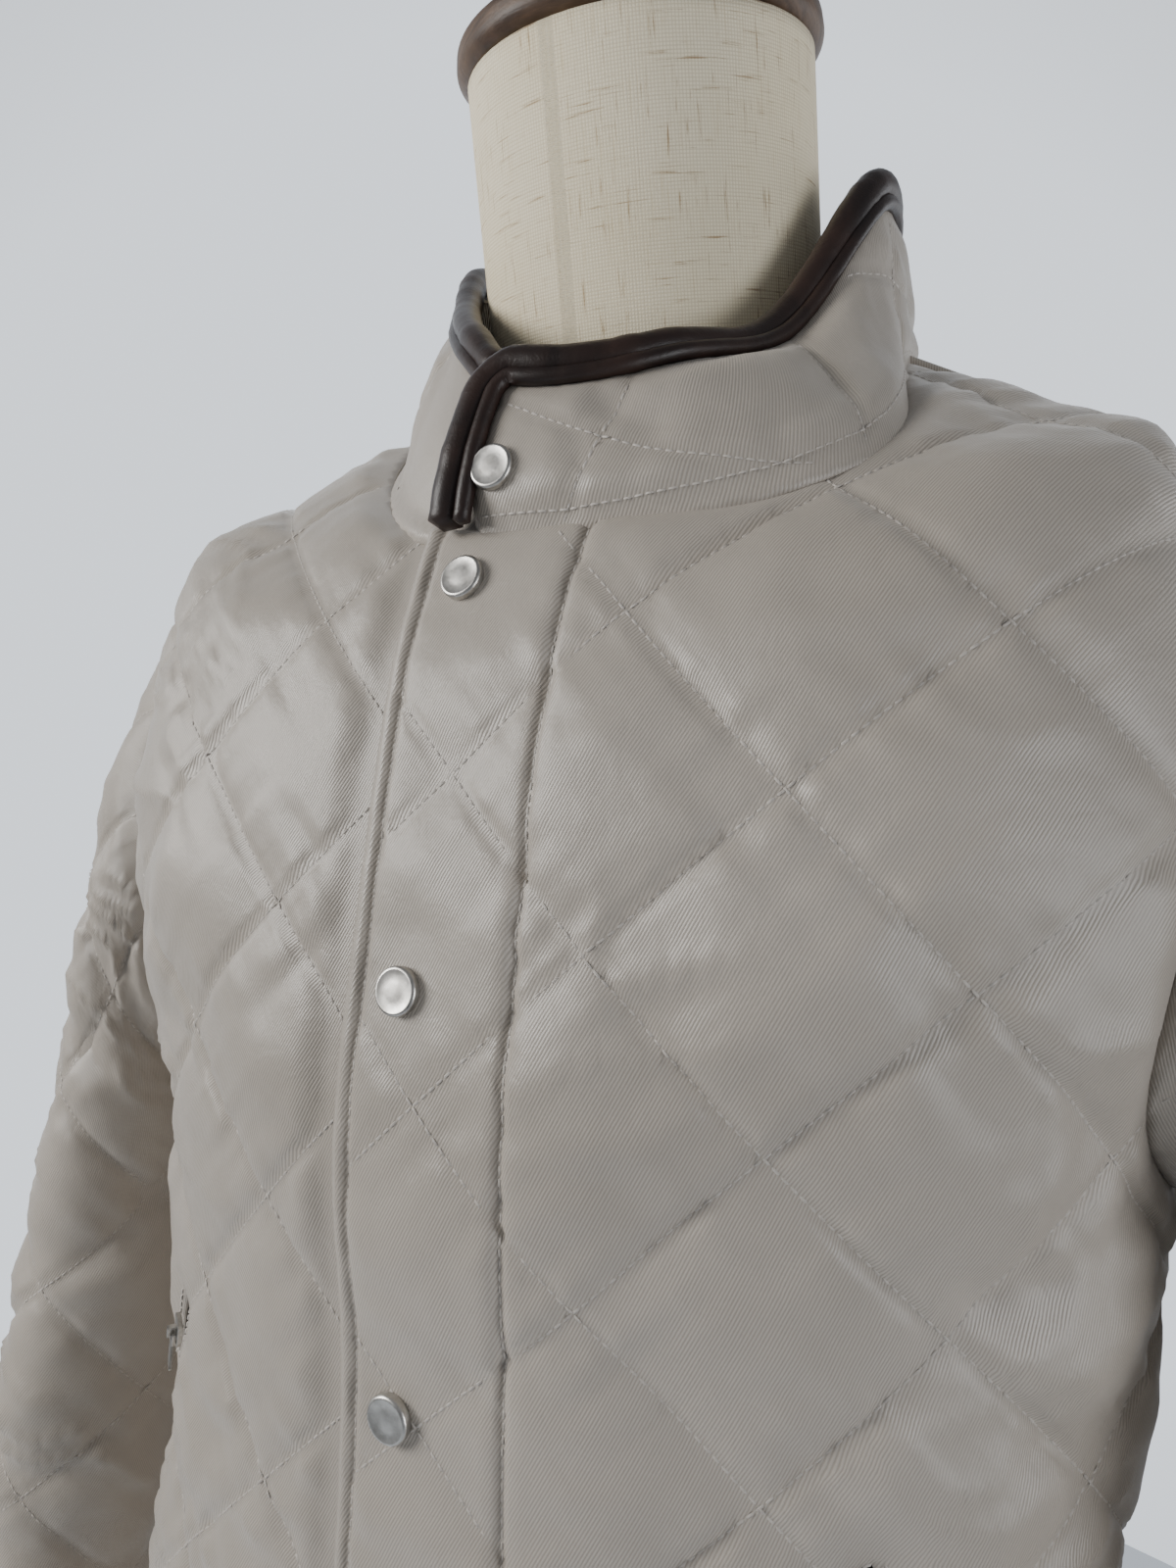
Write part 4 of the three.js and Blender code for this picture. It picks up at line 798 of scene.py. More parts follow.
def twill_cloth(name, flip=1):
    """Fine diagonal twill with a soft satin sheen, ribs rising to the right."""
    m = Nodes(name)
    uv = m.coords()
    ribs = m.wave(uv, 1 / TWILL_PITCH / 3.18, turn=flip * TWILL_TURN + math.pi / 2, distort=0.25)
    yarn = m.noise(m.mapped(uv, scale=(2600, 900, 1), turn=flip * TWILL_TURN), 1.0, 2.0)
    tone = m.noise(uv, 9.0, 4.0)
    base = m.ramp(tone, [(0.3, (0.415, 0.372, 0.320)), (0.72, (0.490, 0.442, 0.388))])
    ribbed = m.blend("MULTIPLY", 0.55, base, m.ramp(ribs, [(0.1, (0.52, 0.50, 0.47)), (0.7, (1, 1, 1))]))
    flecked = m.blend("MULTIPLY", 0.22, ribbed, m.ramp(yarn, [(0.3, (0.75, 0.74, 0.73)), (0.65, (1, 1, 1))]))
    m.link(flecked, m.shader.inputs["Base Color"])
    rough = m.remap(m.noise(uv, 60.0, 3.0), 0.34, 0.46)
    m.link(rough, m.shader.inputs["Roughness"])
    small = m.noise(uv, 130.0, 3.0, 0.6, 0.6)
    m.bump((small, 0.22, 0.0012), (ribs, 0.5, 0.00016), (yarn, 0.15, 0.00006))
    m.set(Sheen_Weight=0.25, Sheen_Roughness=0.35, Specular_IOR_Level=0.55, Anisotropic=0.35)
    m.shader.inputs["Sheen Tint"].default_value = (0.95, 0.92, 0.88, 1)
    return m.material


def thread():
    m = Nodes("stitch_thread")
    p = m.coords("Object")
    m.link(m.ramp(m.noise(p, 400.0, 2.0), [(0.3, (0.42, 0.38, 0.34)), (0.7, (0.54, 0.50, 0.45))]),
           m.shader.inputs["Base Color"])
    m.bump((m.wave(p, 900.0), 0.3, 0.0001))
    m.set(Roughness=0.55, Sheen_Weight=0.2)
    return m.material


def soft_leather(name, dark, light, grain=260.0, rough=(0.36, 0.5), scuff=(0.2, 0.13, 0.09)):
    m = Nodes(name)
    p = m.coords("Object")
    cells = m.node("ShaderNodeTexVoronoi", feature="DISTANCE_TO_EDGE")
    cells.inputs["Scale"].default_value = grain * 3
    m.link(p, cells.inputs["Vector"])
    grainy = m.ramp(cells.outputs["Distance"], [(0.0, (0, 0, 0)), (0.12, (1, 1, 1))])
    tone = m.noise(p, 38.0, 4.0, 0.6, 0.8)
    base = m.ramp(tone, [(0.32, dark), (0.7, light)])
    worn = m.ramp(m.noise(p, 120.0, 5.0, 0.7), [(0.62, (0, 0, 0)), (0.78, (1, 1, 1))])
    m.link(m.blend("MIX", m.math("MULTIPLY", worn, 0.35), base, scuff), m.shader.inputs["Base Color"])
    m.link(m.remap(tone, *rough), m.shader.inputs["Roughness"])
    m.bump((m.noise(p, 70.0, 4.0, 0.6, 1.0), 0.35, 0.0012), (grainy, 0.2, 0.00012))
    m.set(Specular_IOR_Level=0.4)
    return m.material


def corduroy():
    m = Nodes("collar_facing_rib")
    uv = m.coords()
    ribs = m.wave(uv, 1 / 0.0022 / 3.18, distort=0.15)
    pile = m.noise(uv, 900.0, 3.0)
    m.link(m.ramp(ribs, [(0.1, (0.012, 0.009, 0.008)), (0.75, (0.062, 0.043, 0.034))]), m.shader.inputs["Base Color"])
    m.bump((ribs, 0.8, 0.0006), (pile, 0.3, 0.0002))
    m.set(Roughness=0.9, Sheen_Weight=0.6, Sheen_Roughness=0.4)
    return m.material


def linen():
    m = Nodes("form_linen")
    uv = m.coords()
    warp = m.wave(uv, 1 / 0.0012 / 3.18, distort=0.5)
    weft = m.wave(uv, 1 / 0.0012 / 3.18, turn=math.pi / 2, distort=0.5)
    weave = m.math("MULTIPLY", warp, weft)
    slub_across = m.noise(m.mapped(uv, scale=(34, 640, 1)), 1.0, 4.0, 0.65)
    slub_up = m.noise(m.mapped(uv, scale=(640, 34, 1)), 1.0, 4.0, 0.65)
    base = m.ramp(m.noise(uv, 14.0, 3.0), [(0.3, (0.86, 0.77, 0.56)), (0.7, (0.92, 0.84, 0.65))])
    woven = m.blend("MULTIPLY", 0.5, base, m.ramp(weave, [(0.0, (0.60, 0.53, 0.42)), (0.35, (1, 1, 1))]))
    light = m.blend("MULTIPLY", 0.6, woven, m.ramp(slub_up, [(0.28, (0.78, 0.70, 0.58)), (0.42, (1, 1, 1))]))
    fleck = m.ramp(m.math("MAXIMUM", slub_across, slub_up), [(0.60, (1, 1, 1)), (0.68, (0.40, 0.27, 0.15))])
    m.link(m.blend("MULTIPLY", 0.75, light, fleck), m.shader.inputs["Base Color"])
    m.bump((weave, 0.5, 0.0003), (slub_up, 0.25, 0.0004), (slub_across, 0.25, 0.0004))
    m.set(Roughness=0.88, Sheen_Weight=0.15, Specular_IOR_Level=0.25)
    return m.material


def turned_wood():
    m = Nodes("turned_wood")
    p = m.coords("Object")
    grain = m.noise(m.mapped(p, scale=(34, 34, 260)), 1.0, 6.0, 0.65, 0.6)
    blotch = m.noise(p, 24.0, 4.0, 0.6)
    base = m.ramp(grain, [(0.3, (0.026, 0.014, 0.008)), (0.55, (0.075, 0.042, 0.024)), (0.75, (0.165, 0.098, 0.056))])
    worn = m.ramp(blotch, [(0.50, (0, 0, 0)), (0.72, (1, 1, 1))])
    m.link(m.blend("MIX", m.math("MULTIPLY", worn, 0.4), base, (0.19, 0.125, 0.08)), m.shader.inputs["Base Color"])
    m.link(m.remap(blotch, 0.38, 0.62), m.shader.inputs["Roughness"])
    m.bump((grain, 0.35, 0.0008), (m.noise(p, 420.0, 4.0), 0.25, 0.0004))
    m.set(Specular_IOR_Level=0.4)
    return m.material


def antique_metal(name="antique_silver"):
    m = Nodes(name)
    p = m.coords("Object")
    brushed = m.noise(m.mapped(p, scale=(900, 90, 900)), 1.0, 3.0)
    dull = m.noise(p, 260.0, 4.0, 0.6)
    m.link(m.ramp(dull, [(0.3, (0.36, 0.345, 0.32)), (0.65, (0.60, 0.585, 0.555))]), m.shader.inputs["Base Color"])
    m.link(m.remap(brushed, 0.26, 0.46), m.shader.inputs["Roughness"])
    m.bump((brushed, 0.15, 0.0001))
    m.set(Metallic=1.0)
    return m.material


# Near-black backing cloth behind the zip slots: a real pocket backing whose darkness is partly painted shade inside the
# slot.
def pocket_fabric_with_painted_shade():
    m = Nodes("pocket_fabric_painted_shade")
    p = m.coords("Object")
    m.link(m.ramp(m.noise(p, 700.0, 3.0), [(0.3, (0.012, 0.011, 0.010)), (0.7, (0.035, 0.032, 0.030))]),
           m.shader.inputs["Base Color"])
    m.bump((m.noise(p, 900.0, 2.0), 0.4, 0.0003))
    m.set(Roughness=0.95)
    return m.material


SHELL = twill_cloth("shell_twill")
SHELL_RIGHT = twill_cloth("shell_twill_mirrored", flip=-1)
THREAD = thread()
BINDING_MATERIAL = soft_leather("binding_leather", (0.011, 0.006, 0.005), (0.030, 0.015, 0.011),
                                scuff=(0.06, 0.032, 0.024))
PATCH_MATERIAL = soft_leather("patch_leather", (0.035, 0.016, 0.009), (0.085, 0.040, 0.022))
FACING_MATERIAL = corduroy()
LINEN = linen()
WOOD = turned_wood()
METAL = antique_metal()
POCKET = pocket_fabric_with_painted_shade()


# Panel outlines
SIDE = math.pi / 2


def armhole_run(sheet, start, end, n, hold):
    row, angle = armhole_at(np.linspace(start, end, n + 1))
    return sheet.measure(hold(angle), row)


def front_outline(edge, seam_row):
    at = lambda angle, row: front_sheet.measure(angle, row)
    angles = np.linspace(-0.34, SIDE, 60)
    neck = at(angles, seam_row(angles))
    neck = neck[neck[:, 0] > edge + 1]
    hem = at(angles[::-1], 0)
    hem = hem[hem[:, 0] > edge + 1]
    return np.vstack([
        [[edge, neck[0][1]]], neck[:-1],
        at(SIDE, np.linspace(NECK_ROW, TIP_ROW, 8))[:-1],
        armhole_run(front_sheet, 0, 0.5, 40, lambda q: np.minimum(q, SIDE))[:-1],
        at(SIDE, np.linspace(ARMPIT_ROW, 0, 40))[:-1],
        hem, [[edge, hem[-1][1]]],
    ])


def back_outline():
    at = lambda angle, row: back_sheet.measure(angle, row)
    run = np.vstack([
        at(np.linspace(math.pi, SIDE, 24), NECK_ROW)[:-1],
        at(SIDE, np.linspace(NECK_ROW, TIP_ROW, 8))[:-1],
        armhole_run(back_sheet, 1, 0.5, 40, lambda q: np.maximum(q, SIDE))[:-1],
        at(SIDE, np.linspace(ARMPIT_ROW, 0, 40))[:-1],
        at(np.linspace(SIDE, math.pi, 24), 0),
    ])
    run[:, 0] = np.abs(run[:, 0])
    return np.vstack([run, (run[1:-1] * [-1, 1])[::-1]])


def sleeve_outline():
    q = 0.5 * np.sin(np.pi * (np.linspace(0, 1, 81) - 0.5))
    at = lambda turn, s: sleeve_sheet.measure(turn, s)
    return np.vstack([
        at(q, 0)[:-1], at(0.5, np.linspace(0, SLEEVE_END, 40))[:-1],
        at(np.linspace(0.5, -0.5, 30), SLEEVE_END)[:-1], at(-0.5, np.linspace(SLEEVE_END, 0, 40))[:-1],
    ])


def slot_round(line, half):
    line = np.asarray(line, float)
    t = np.gradient(line, axis=0)
    n = np.stack([-t[:, 1], t[:, 0]], 1) / np.linalg.norm(t, axis=1, keepdims=True)
    return np.vstack([line + n * half, (line - n * half)[::-1]])


pocket_slot = slot_round(POCKET_LINE, POCKET_HALF)
left_edge = front_outline(OVERLAP_EDGE, neck_row)
right_edge = front_outline(-UNDER_EDGE, lambda angle: NECK_ROW)
back_edge = back_outline()
sleeve_edge = sleeve_outline()


# Cloth heights
def front_lift(u, v=None):
    return OVERLAP_LIFT * (1 - smooth((u - LIFT_FROM) / (LIFT_TO - LIFT_FROM)))


def seam_fade(d):
    return smooth(d / EDGE_FADE)


def rim_height(d):
    """Cloth thickness that rounds down into a seam or edge."""
    return CLOTH * (0.35 + 0.65 * smooth(d / 3.2))


def groove(x, wide, deep):
    return -deep * np.exp(-(x / wide) ** 2)


def dimple(u, v, levels, inner=11, outer=34):
    k = np.ones(u.shape)
    for s in levels:
        k = k * (0.35 + 0.65 * smooth((np.hypot(u, v - s) - inner) / (outer - inner)))
    return k


LEFT_CREASES = [
    (150, -20, 235, 8, 9, -2.6), (165, -38, 240, -22, 8, 2.4), (170, -60, 232, -52, 7, -2.2),
    (140, 60, 215, 20, 12, -1.6), (70, 120, 120, 60, 12, 1.2), (60, 20, 130, -20, 14, -1.0),
    (60, -150, 160, -205, 14, 1.3), (90, -300, 190, -260, 13, -1.4), (40, -80, 95, -130, 10, -1.0),
    (150, -130, 225, -180, 10, 1.6), (60, -420, 160, -380, 12, 1.2), (150, 90, 170, 10, 9, -1.5),
    (185, 70, 190, 0, 7, 1.5), (100, 180, 160, 150, 8, -1.1), (45, 200, 80, 150, 7, -0.8),
]
RIGHT_CREASES = [
    (90, 70, 150, 10, 12, -1.8), (120, 100, 160, 30, 10, 1.6), (150, -10, 205, 12, 8, -2.4),
    (140, -50, 215, -34, 9, 2.2), (70, -60, 130, -120, 12, -1.4), (60, 30, 110, 60, 10, 1.0),
    (120, -200, 190, -150, 12, 1.4), (60, -300, 150, -340, 13, -1.3), (165, 60, 185, -20, 8, 1.8),
]
BACK_CREASES = [
    (-120, 40, -200, -10, 12, -2.2), (120, 60, 205, 5, 12, -2.4), (-60, 110, -140, 90, 12, 1.4),
    (40, 130, 130, 110, 11, -1.4), (-150, -160, -60, -120, 14, 1.6), (150, -190, 50, -140, 14, -1.6),
    (-80, -330, 60, -300, 16, 1.3), (20, -30, 110, -70, 13, 1.1), (-40, -60, -120, -20, 12, -1.2),
]
SLEEVE_CREASES = [
    (-90, 300, -10, 340, 10, -3.0), (-80, 262, 10, 290, 9, 2.6), (-150, 330, -70, 372, 9, -2.6),
    (60, 200, 140, 235, 10, -1.6), (-160, 250, -90, 226, 9, 2.2), (-60, 210, 20, 190, 11, -2.2),
    (-120, 180, -40, 160, 10, 2.0), (30, 420, 110, 390, 12, -1.8), (-90, 430, -20, 400, 11, -2.0),
    (-150, 120, -60, 100, 10, -1.8), (40, 110, 130, 90, 11, 1.6), (-30, 480, 50, 500, 12, 1.6),
    (130, 250, 190, 300, 9, -2.4), (120, 150, 190, 180, 9, 2.0), (-190, 290, -130, 270, 8, -2.2),
    (0, 60, 80, 44, 10, 1.3), (-110, 60, -30, 50, 10, -1.4),
]


def placket_marks(u):
    """The puckered roll along the free edge and the stitched placket line."""
    return groove(u - OVERLAP_EDGE - EDGE_ROLL, 1.3, 1.5) + groove(u - PLACKET_LINE, 2.0, 2.4)


def edge_puckers(u, v, line, seed):
    d = np.abs(u - line)
    ripple = soft_noise(v / 6.5, u * 0 + line, seed) + 0.6 * soft_noise(v / 3.2, u * 0 + line, seed + 1)
    return 0.45 * ripple * np.exp(-d / 6) * smooth(d / 1.5)


HEM_LINE = 20


def hem_shape(v, low):
    return groove(v - low - HEM_LINE, 1.4, 0.9)


BODY_LOW = left_edge[:, 1].min()


def left_high(u, v, d):
    band = smooth((u - PLACKET_LINE + 16) / 20)
    fade = seam_fade(d) * dimple(u, v, SNAP_LEVELS)
    body = quilted(QUILT_START["left"], PUFF * mix(0.62, 1, band), u, v, 1) * fade
    roll = 0.9 * np.exp(-((u - OVERLAP_EDGE - 3.2) / 2.6) ** 2)
    return (front_lift(u) + rim_height(d) + body + roll + placket_marks(u) + edge_puckers(u, v, PLACKET_LINE, 31)
            + edge_puckers(u, v, OVERLAP_EDGE + EDGE_ROLL, 37) + creased(u, v, LEFT_CREASES) * seam_fade(d)
            + crumpled(u, v, 61, 0.25, 15, 2.0) * fade * band
            + hem_shape(v, BODY_LOW))


def right_high(u, v, d):
    body = quilted(QUILT_START["right"], PUFF, u, v, 2) * seam_fade(d)
    clear = smooth((u + OVERLAP_EDGE - 6) / 14)
    folds = creased(u, v, RIGHT_CREASES) + crumpled(u, v, 67, 0.3, 15, 2.0)
    return rim_height(d) + (body + folds * seam_fade(d)) * clear + hem_shape(v, BODY_LOW)


def back_high(u, v, d):
    return (rim_height(d) + quilted(QUILT_START["back"], PUFF, u, v, 3) * seam_fade(d)
            + (creased(u, v, BACK_CREASES) + crumpled(u, v, 71, 0.1, 19, 1.2)) * seam_fade(d) + hem_shape(v, BODY_LOW))


def on_patch(u, v):
    return np.hypot((u - PATCH["u"]) / PATCH["half_width"], (v - PATCH["v"]) / PATCH["half_length"])


def sleeve_high(seed):
    def high(u, v, d):
        calm = smooth((on_patch(u, v) - 1.15) / 0.3)
        fade = seam_fade(d)
        body = quilted(QUILT_START["sleeve"], PUFF, u, v, seed) * fade
        folds = 1.35 * creased(u, v, SLEEVE_CREASES) + crumpled(u, v, seed + 80, 0.35, 15, 3.2)
        return rim_height(d) + (body + folds * fade) * calm + hem_shape(v, 0)
    return high


def flat_low(u, v):
    return np.zeros(u.shape)


left_panel = cloth_panel("front_left_cloth", front_sheet, left_edge, QUILT_START["left"], left_high, front_lift,
                         holes=[pocket_slot], lines=[OVERLAP_EDGE + EDGE_ROLL, PLACKET_LINE])
right_panel = cloth_panel("front_right_cloth", front_sheet, right_edge, QUILT_START["right"], right_high, flat_low,
                          side=-1, holes=[pocket_slot])
back_panel = cloth_panel("back_cloth", back_sheet, back_edge, QUILT_START["back"], back_high, flat_low,
                         steps=GRID_STEPS - 4)
panels = [(left_panel, "front_left", SHELL), (right_panel, "front_right", SHELL_RIGHT), (back_panel, "back", SHELL)]
sleeves = {}
for label, side, seed in (("left", 1, 4), ("right", -1, 6)):
    sleeves[label] = cloth_panel(f"sleeve_{label}_cloth", sleeve_sheet, sleeve_edge, QUILT_START["sleeve"],
                                 sleeve_high(seed), flat_low, side=side, steps=GRID_STEPS - 2)
    panels.append((sleeves[label], f"sleeve_{label}", SHELL if side > 0 else SHELL_RIGHT))
for obj, node, material in panels:
    finish_piece(obj, material, [node])


# Quilting thread and edge stitching
def vertical(u, v0, v1):
    v = np.arange(v0, v1, 1.5)
    return np.stack([np.full(v.shape, float(u)), v], 1)


def inner_run(outline, u, margin=5):
    """A straight line up the panel at u, kept off its ends."""
    v = np.arange(outline[:, 1].min(), outline[:, 1].max(), 1.5)
    ok = inside(outline, np.full(v.shape, float(u)), v)
    v = v[ok][margin:-2]
    return np.stack([np.full(v.shape, float(u)), v], 1)


def level_run(outline, v, off=4):
    u = np.arange(outline[:, 0].min(), outline[:, 0].max(), 1.5)
    ok = inside(outline, u, np.full(u.shape, float(v)))
    u = u[ok][3:-3]
    return np.stack([u, np.full(u.shape, float(v))], 1)


def on_cloth(high, outline, holes=()):
    return lambda u, v: high(u, v, edge_distance([outline, *holes], u, v)) + 0.15


left_runs = quilt_runs(QUILT_START["left"], left_edge, [pocket_slot],
                       skip=lambda u, v: u < OVERLAP_EDGE + EDGE_ROLL + 1)
left_runs += [inner_run(left_edge, OVERLAP_EDGE + EDGE_ROLL), inner_run(left_edge, PLACKET_LINE),
              level_run(left_edge, BODY_LOW + HEM_LINE)]
stitched("stitches_front_left", front_sheet, left_runs, on_cloth(left_high, left_edge, [pocket_slot]), 1, THREAD)
right_runs = quilt_runs(QUILT_START["right"], right_edge, [pocket_slot], skip=lambda u, v: u < -OVERLAP_EDGE + 3)
right_runs.append(level_run(right_edge, BODY_LOW + HEM_LINE))
stitched("stitches_front_right", front_sheet, right_runs, on_cloth(right_high, right_edge, [pocket_slot]), -1, THREAD)
back_runs = quilt_runs(QUILT_START["back"], back_edge, []) + [level_run(back_edge, BODY_LOW + HEM_LINE)]
stitched("stitches_back", back_sheet, back_runs, on_cloth(back_high, back_edge), 1, THREAD)
for label, side, seed in (("left", 1, 4), ("right", -1, 6)):
    runs = quilt_runs(QUILT_START["sleeve"], sleeve_edge, [], skip=lambda u, v: on_patch(u, v) < 1.05)
    runs.append(level_run(sleeve_edge, HEM_LINE))
    stitched(f"stitches_sleeve_{label}", sleeve_sheet, runs, on_cloth(sleeve_high(seed), sleeve_edge), side, THREAD)


# Elbow patches
q = np.linspace(0, 2 * math.pi, 49)[:-1]
pinch = 0.94 / (np.abs(np.cos(q)) ** 2.5 + np.abs(np.sin(q)) ** 2.5) ** 0.4
patch_edge = np.stack([PATCH["u"] + PATCH["half_width"] * pinch * np.cos(q),
                       PATCH["v"] + PATCH["half_length"] * pinch * np.sin(q)], 1)


def patch_high(u, v, d):
    return CLOTH + 0.6 + 1.3 * smooth(d / 2.5) + groove(d - 3.5, 1.0, 0.5) + 0.5 * soft_noise(u / 17, v / 21, 12)


for label, side in (("left", 1), ("right", -1)):
    patch = cloth_panel(f"elbow_patch_{label}_leather", sleeve_sheet, patch_edge, QUILT_START["sleeve"], patch_high,
                        lambda u, v: np.full(u.shape, float(CLOTH)), side=side)
    finish_piece(patch, PATCH_MATERIAL, [f"elbow_patch_{label}"])
    centre = patch_edge.mean(0)
    ring = along(centre + (patch_edge - centre) * 0.945, 1.5)
    stitched(f"stitches_patch_{label}", sleeve_sheet, [ring],
             lambda u, v: patch_high(u, v, edge_distance([patch_edge], u, v)) + 0.1, side, THREAD)


# Collar
def collar_u(angle):
    return collar_sheet.measure(angle, 0.5)[..., 0]


def collar_height(angle):
    return collar_sheet.measure(angle, 1)[..., 1]


LIFT_U = (collar_u(COLLAR_LIFT_FROM)[0], collar_u(COLLAR_LIFT_TO)[0])
UNDER_START = collar_u(322)[0]


COLLAR_FOOT = -4.5
FOOT_SPREAD = 4.2
FOOT_RUN = 11


def collar_lift(u, v=COLLAR_SETTLE):
    full = COLLAR_LIFT * (1 - smooth((u - LIFT_U[0]) / (LIFT_U[1] - LIFT_U[0])))
    spread = FOOT_SPREAD * (1 - smooth((v - COLLAR_FOOT) / FOOT_RUN)) * smooth((u - LIFT_U[1]) / FOOT_RUN)
    return full * mix(SEAM_SHARE, 1, smooth(v / COLLAR_SETTLE)) + spread


def collar_outline(inset, foot):
    over = collar_u(COLLAR_OVER_ANGLE)[0] + inset
    under = collar_u(COLLAR_UNDER_ANGLE)[0] - inset
    angles = np.linspace(COLLAR_OVER_ANGLE + 1, COLLAR_UNDER_ANGLE - 1, 120)
    u = collar_u(angles)
    top = collar_height(angles) * COLLAR_EDGE - inset
    top = top - UNDER_DROP * smooth((angles - UNDER_DROP_ANGLE) / 12)
    low = np.stack([u, np.full(u.shape, foot)], 1)
    return np.vstack([[[over, foot]], low, [[under, foot], [under, top[-1] - 3]],
                      np.stack([u, top], 1)[::-1], [[over, top[0] - 5]]])


collar_edge = collar_outline(0, COLLAR_FOOT)
COLLAR_CREASES = [
    (30, 44, 62, 20, 5, -1.8), (20, 40, 44, 48, 5, 1.4), (70, 12, 120, 34, 7, -1.5), (95, 40, 140, 60, 7, 1.3),
    (150, 20, 190, 50, 8, -1.4), (240, 40, 300, 22, 8, -1.3), (330, 20, 380, 46, 8, 1.3), (420, 44, 470, 20, 8, -1.4),
    (500, 20, 540, 44, 7, 1.2), (205, 52, 228, 16, 6, -1.6),
]


def collar_high(u, v, d):
    plain = smooth((UNDER_START - u) / 22)
    body = quilted(QUILT_START["collar"], COLLAR_PUFF, u, v, 8, COLLAR_TURN) * seam_fade(d)
    body = body * plain * dimple(u - COLLAR_SNAP[0], v, [COLLAR_SNAP[1]], 9, 22)
    return collar_lift(u, v) + rim_height(d) + body + creased(u, v, COLLAR_CREASES) * seam_fade(d) * plain


collar = cloth_panel("collar_cloth", collar_sheet, collar_edge, QUILT_START["collar"], collar_high, collar_lift,
                     turn=COLLAR_TURN)
finish_piece(collar, SHELL, ["collar"])
collar_runs = quilt_runs(
    QUILT_START["collar"], collar_edge, [], keep_off=5, turn=COLLAR_TURN,
    skip=lambda u, v: (u > UNDER_START) | (np.hypot(u - COLLAR_SNAP[0], v - COLLAR_SNAP[1]) < 10))
angles = np.linspace(COLLAR_OVER_ANGLE + 2, 292, 240)
collar_runs.append(np.stack([collar_u(angles), np.full(angles.shape, 4.5)], 1))
stitched("stitches_collar", collar_sheet, collar_runs, on_cloth(collar_high, collar_edge), 1, THREAD)
facing_edge = collar_outline(2.0, 7.0)
facing = cloth_panel("collar_facing_cord", collar_sheet, facing_edge, QUILT_START["collar"],
                     lambda u, v, d: collar_lift(u, v) - 1.2, lambda u, v: collar_lift(u, v) - 2.4)
finish_piece(facing, FACING_MATERIAL, ["collar_facing"])


def collar_spot(u, v, w, top):
    safe = np.minimum(v, top - 1)
    p = collar_sheet.place(u, safe, w)
    p2 = collar_sheet.place(u, safe - 6, w)
    return p + (p - p2) * ((v - safe) / 6)[:, None]


def binding_path(lift, gap):
    r = BINDING_RADIUS + gap
    over = collar_u(COLLAR_OVER_ANGLE)[0]
    top_at = lambda angle: collar_height(angle) * COLLAR_EDGE
    end_top = top_at(COLLAR_OVER_ANGLE + 3)[0]
    pts = [(over - r, mix(2.0, end_top - 7, f), end_top) for f in np.linspace(0, 1, 14)]
    for f in np.linspace(0, 1, 10)[1:-1]:
        s = f * math.pi / 2
        pts.append((over + 5 - (r + 5) * math.cos(s), end_top - 7 + (r + 7) * math.sin(s), end_top))
    for angle in np.linspace(COLLAR_OVER_ANGLE + 5, BINDING_END_ANGLE, 180):
        u = collar_u(angle)[0]
        top = top_at(angle)[0]
        du = collar_u(angle + 1)[0] - u
        dv = top_at(angle + 1)[0] - top
        l = math.hypot(du, dv)
        pts.append((u - r * dv / l, top + r * du / l, top))
    u, v, top = np.array(pts).T
    level = collar_lift(u) + CLOTH / 2 + BINDING_LIFT * collar_lift(u) / COLLAR_LIFT + lift
    return collar_spot(u, v, level, top)


path = binding_path(0, BINDING_GAP)
run = np.concatenate([[0], np.cumsum(np.linalg.norm(np.diff(path, axis=0), axis=1))])
ripples = 0.22 * soft_noise(run / 5.5, run * 0, 21) + 0.16 * soft_noise(run / 2.7, run * 0, 22)
binding = tube("collar_binding_roll", path, BINDING_RADIUS + 0.5 + ripples, sides=20)
finish_piece(binding, BINDING_MATERIAL, ["collar_binding"])
welt_path = binding_path(1.8, BINDING_GAP - 6.6)
welt = tube("collar_binding_welt", welt_path, 2.9 + 0.5 * ripples, sides=12)
finish_piece(welt, BINDING_MATERIAL)


# Shoulder piping
for label, side in (("left", 1), ("right", -1)):
    run = front_sheet.measure(SIDE - 0.01, np.linspace(NECK_ROW - 0.05, TIP_ROW + 0.02, 60))
    p = front_sheet.place(run[:, 0], run[:, 1], CLOTH + 1.2)
    piping = tube(f"shoulder_piping_{label}_cord", p * [side, 1, 1], 2.2, sides=12)
    finish_piece(piping, SHELL, [f"shoulder_piping_{label}"])


# Snap caps
def frame_on(sheet, u, v, w, side=1):
    o = sheet.place(u, v, w)
    n = sheet.place(u, v, w + 1) - o
    up = sheet.place(u, v + 2, w) - sheet.place(u, v - 2, w)
    if side < 0:
        o, n, up = (x * [-1, 1, 1] for x in (o, n, up))
    n /= np.linalg.norm(n)
    up -= n * (up @ n)
    up /= np.linalg.norm(up)
    m = Matrix(np.column_stack([np.cross(up, n), up, n]).tolist()).to_4x4()
    m.translation = Vector(o)
    return m


def snap_cap(name, place, node):
    r = SNAP_DIAMETER / 2
    body = rounded([(0, -0.4), (r - 0.4, -0.4), (r, 0.6), (r, SNAP_RISE - 0.7), (r * 0.92, SNAP_RISE)], 0.35)
    face = [(r * 0.84, SNAP_RISE + 0.02), (r * 0.80, SNAP_RISE - 0.10), (r * 0.4, SNAP_RISE + 0.08),
            (r * 0.15, SNAP_RISE + 0.14), (0, SNAP_RISE + 0.15)]
    obj = lathe(name, [*body, *face], 56, place, uvs=False)
    return finish_piece(obj, METAL, [node])


SNAP_STAND = 0.4
for k, level in enumerate(SNAP_LEVELS):
    snap_cap(f"snap_{k + 1}_cap", frame_on(front_sheet, 0.0, level, OVERLAP_LIFT + CLOTH + SNAP_STAND), f"snap_{k + 1}")
snap_cap("snap_collar_cap", frame_on(collar_sheet, *COLLAR_SNAP, COLLAR_LIFT + CLOTH + SNAP_STAND), "snap_collar")
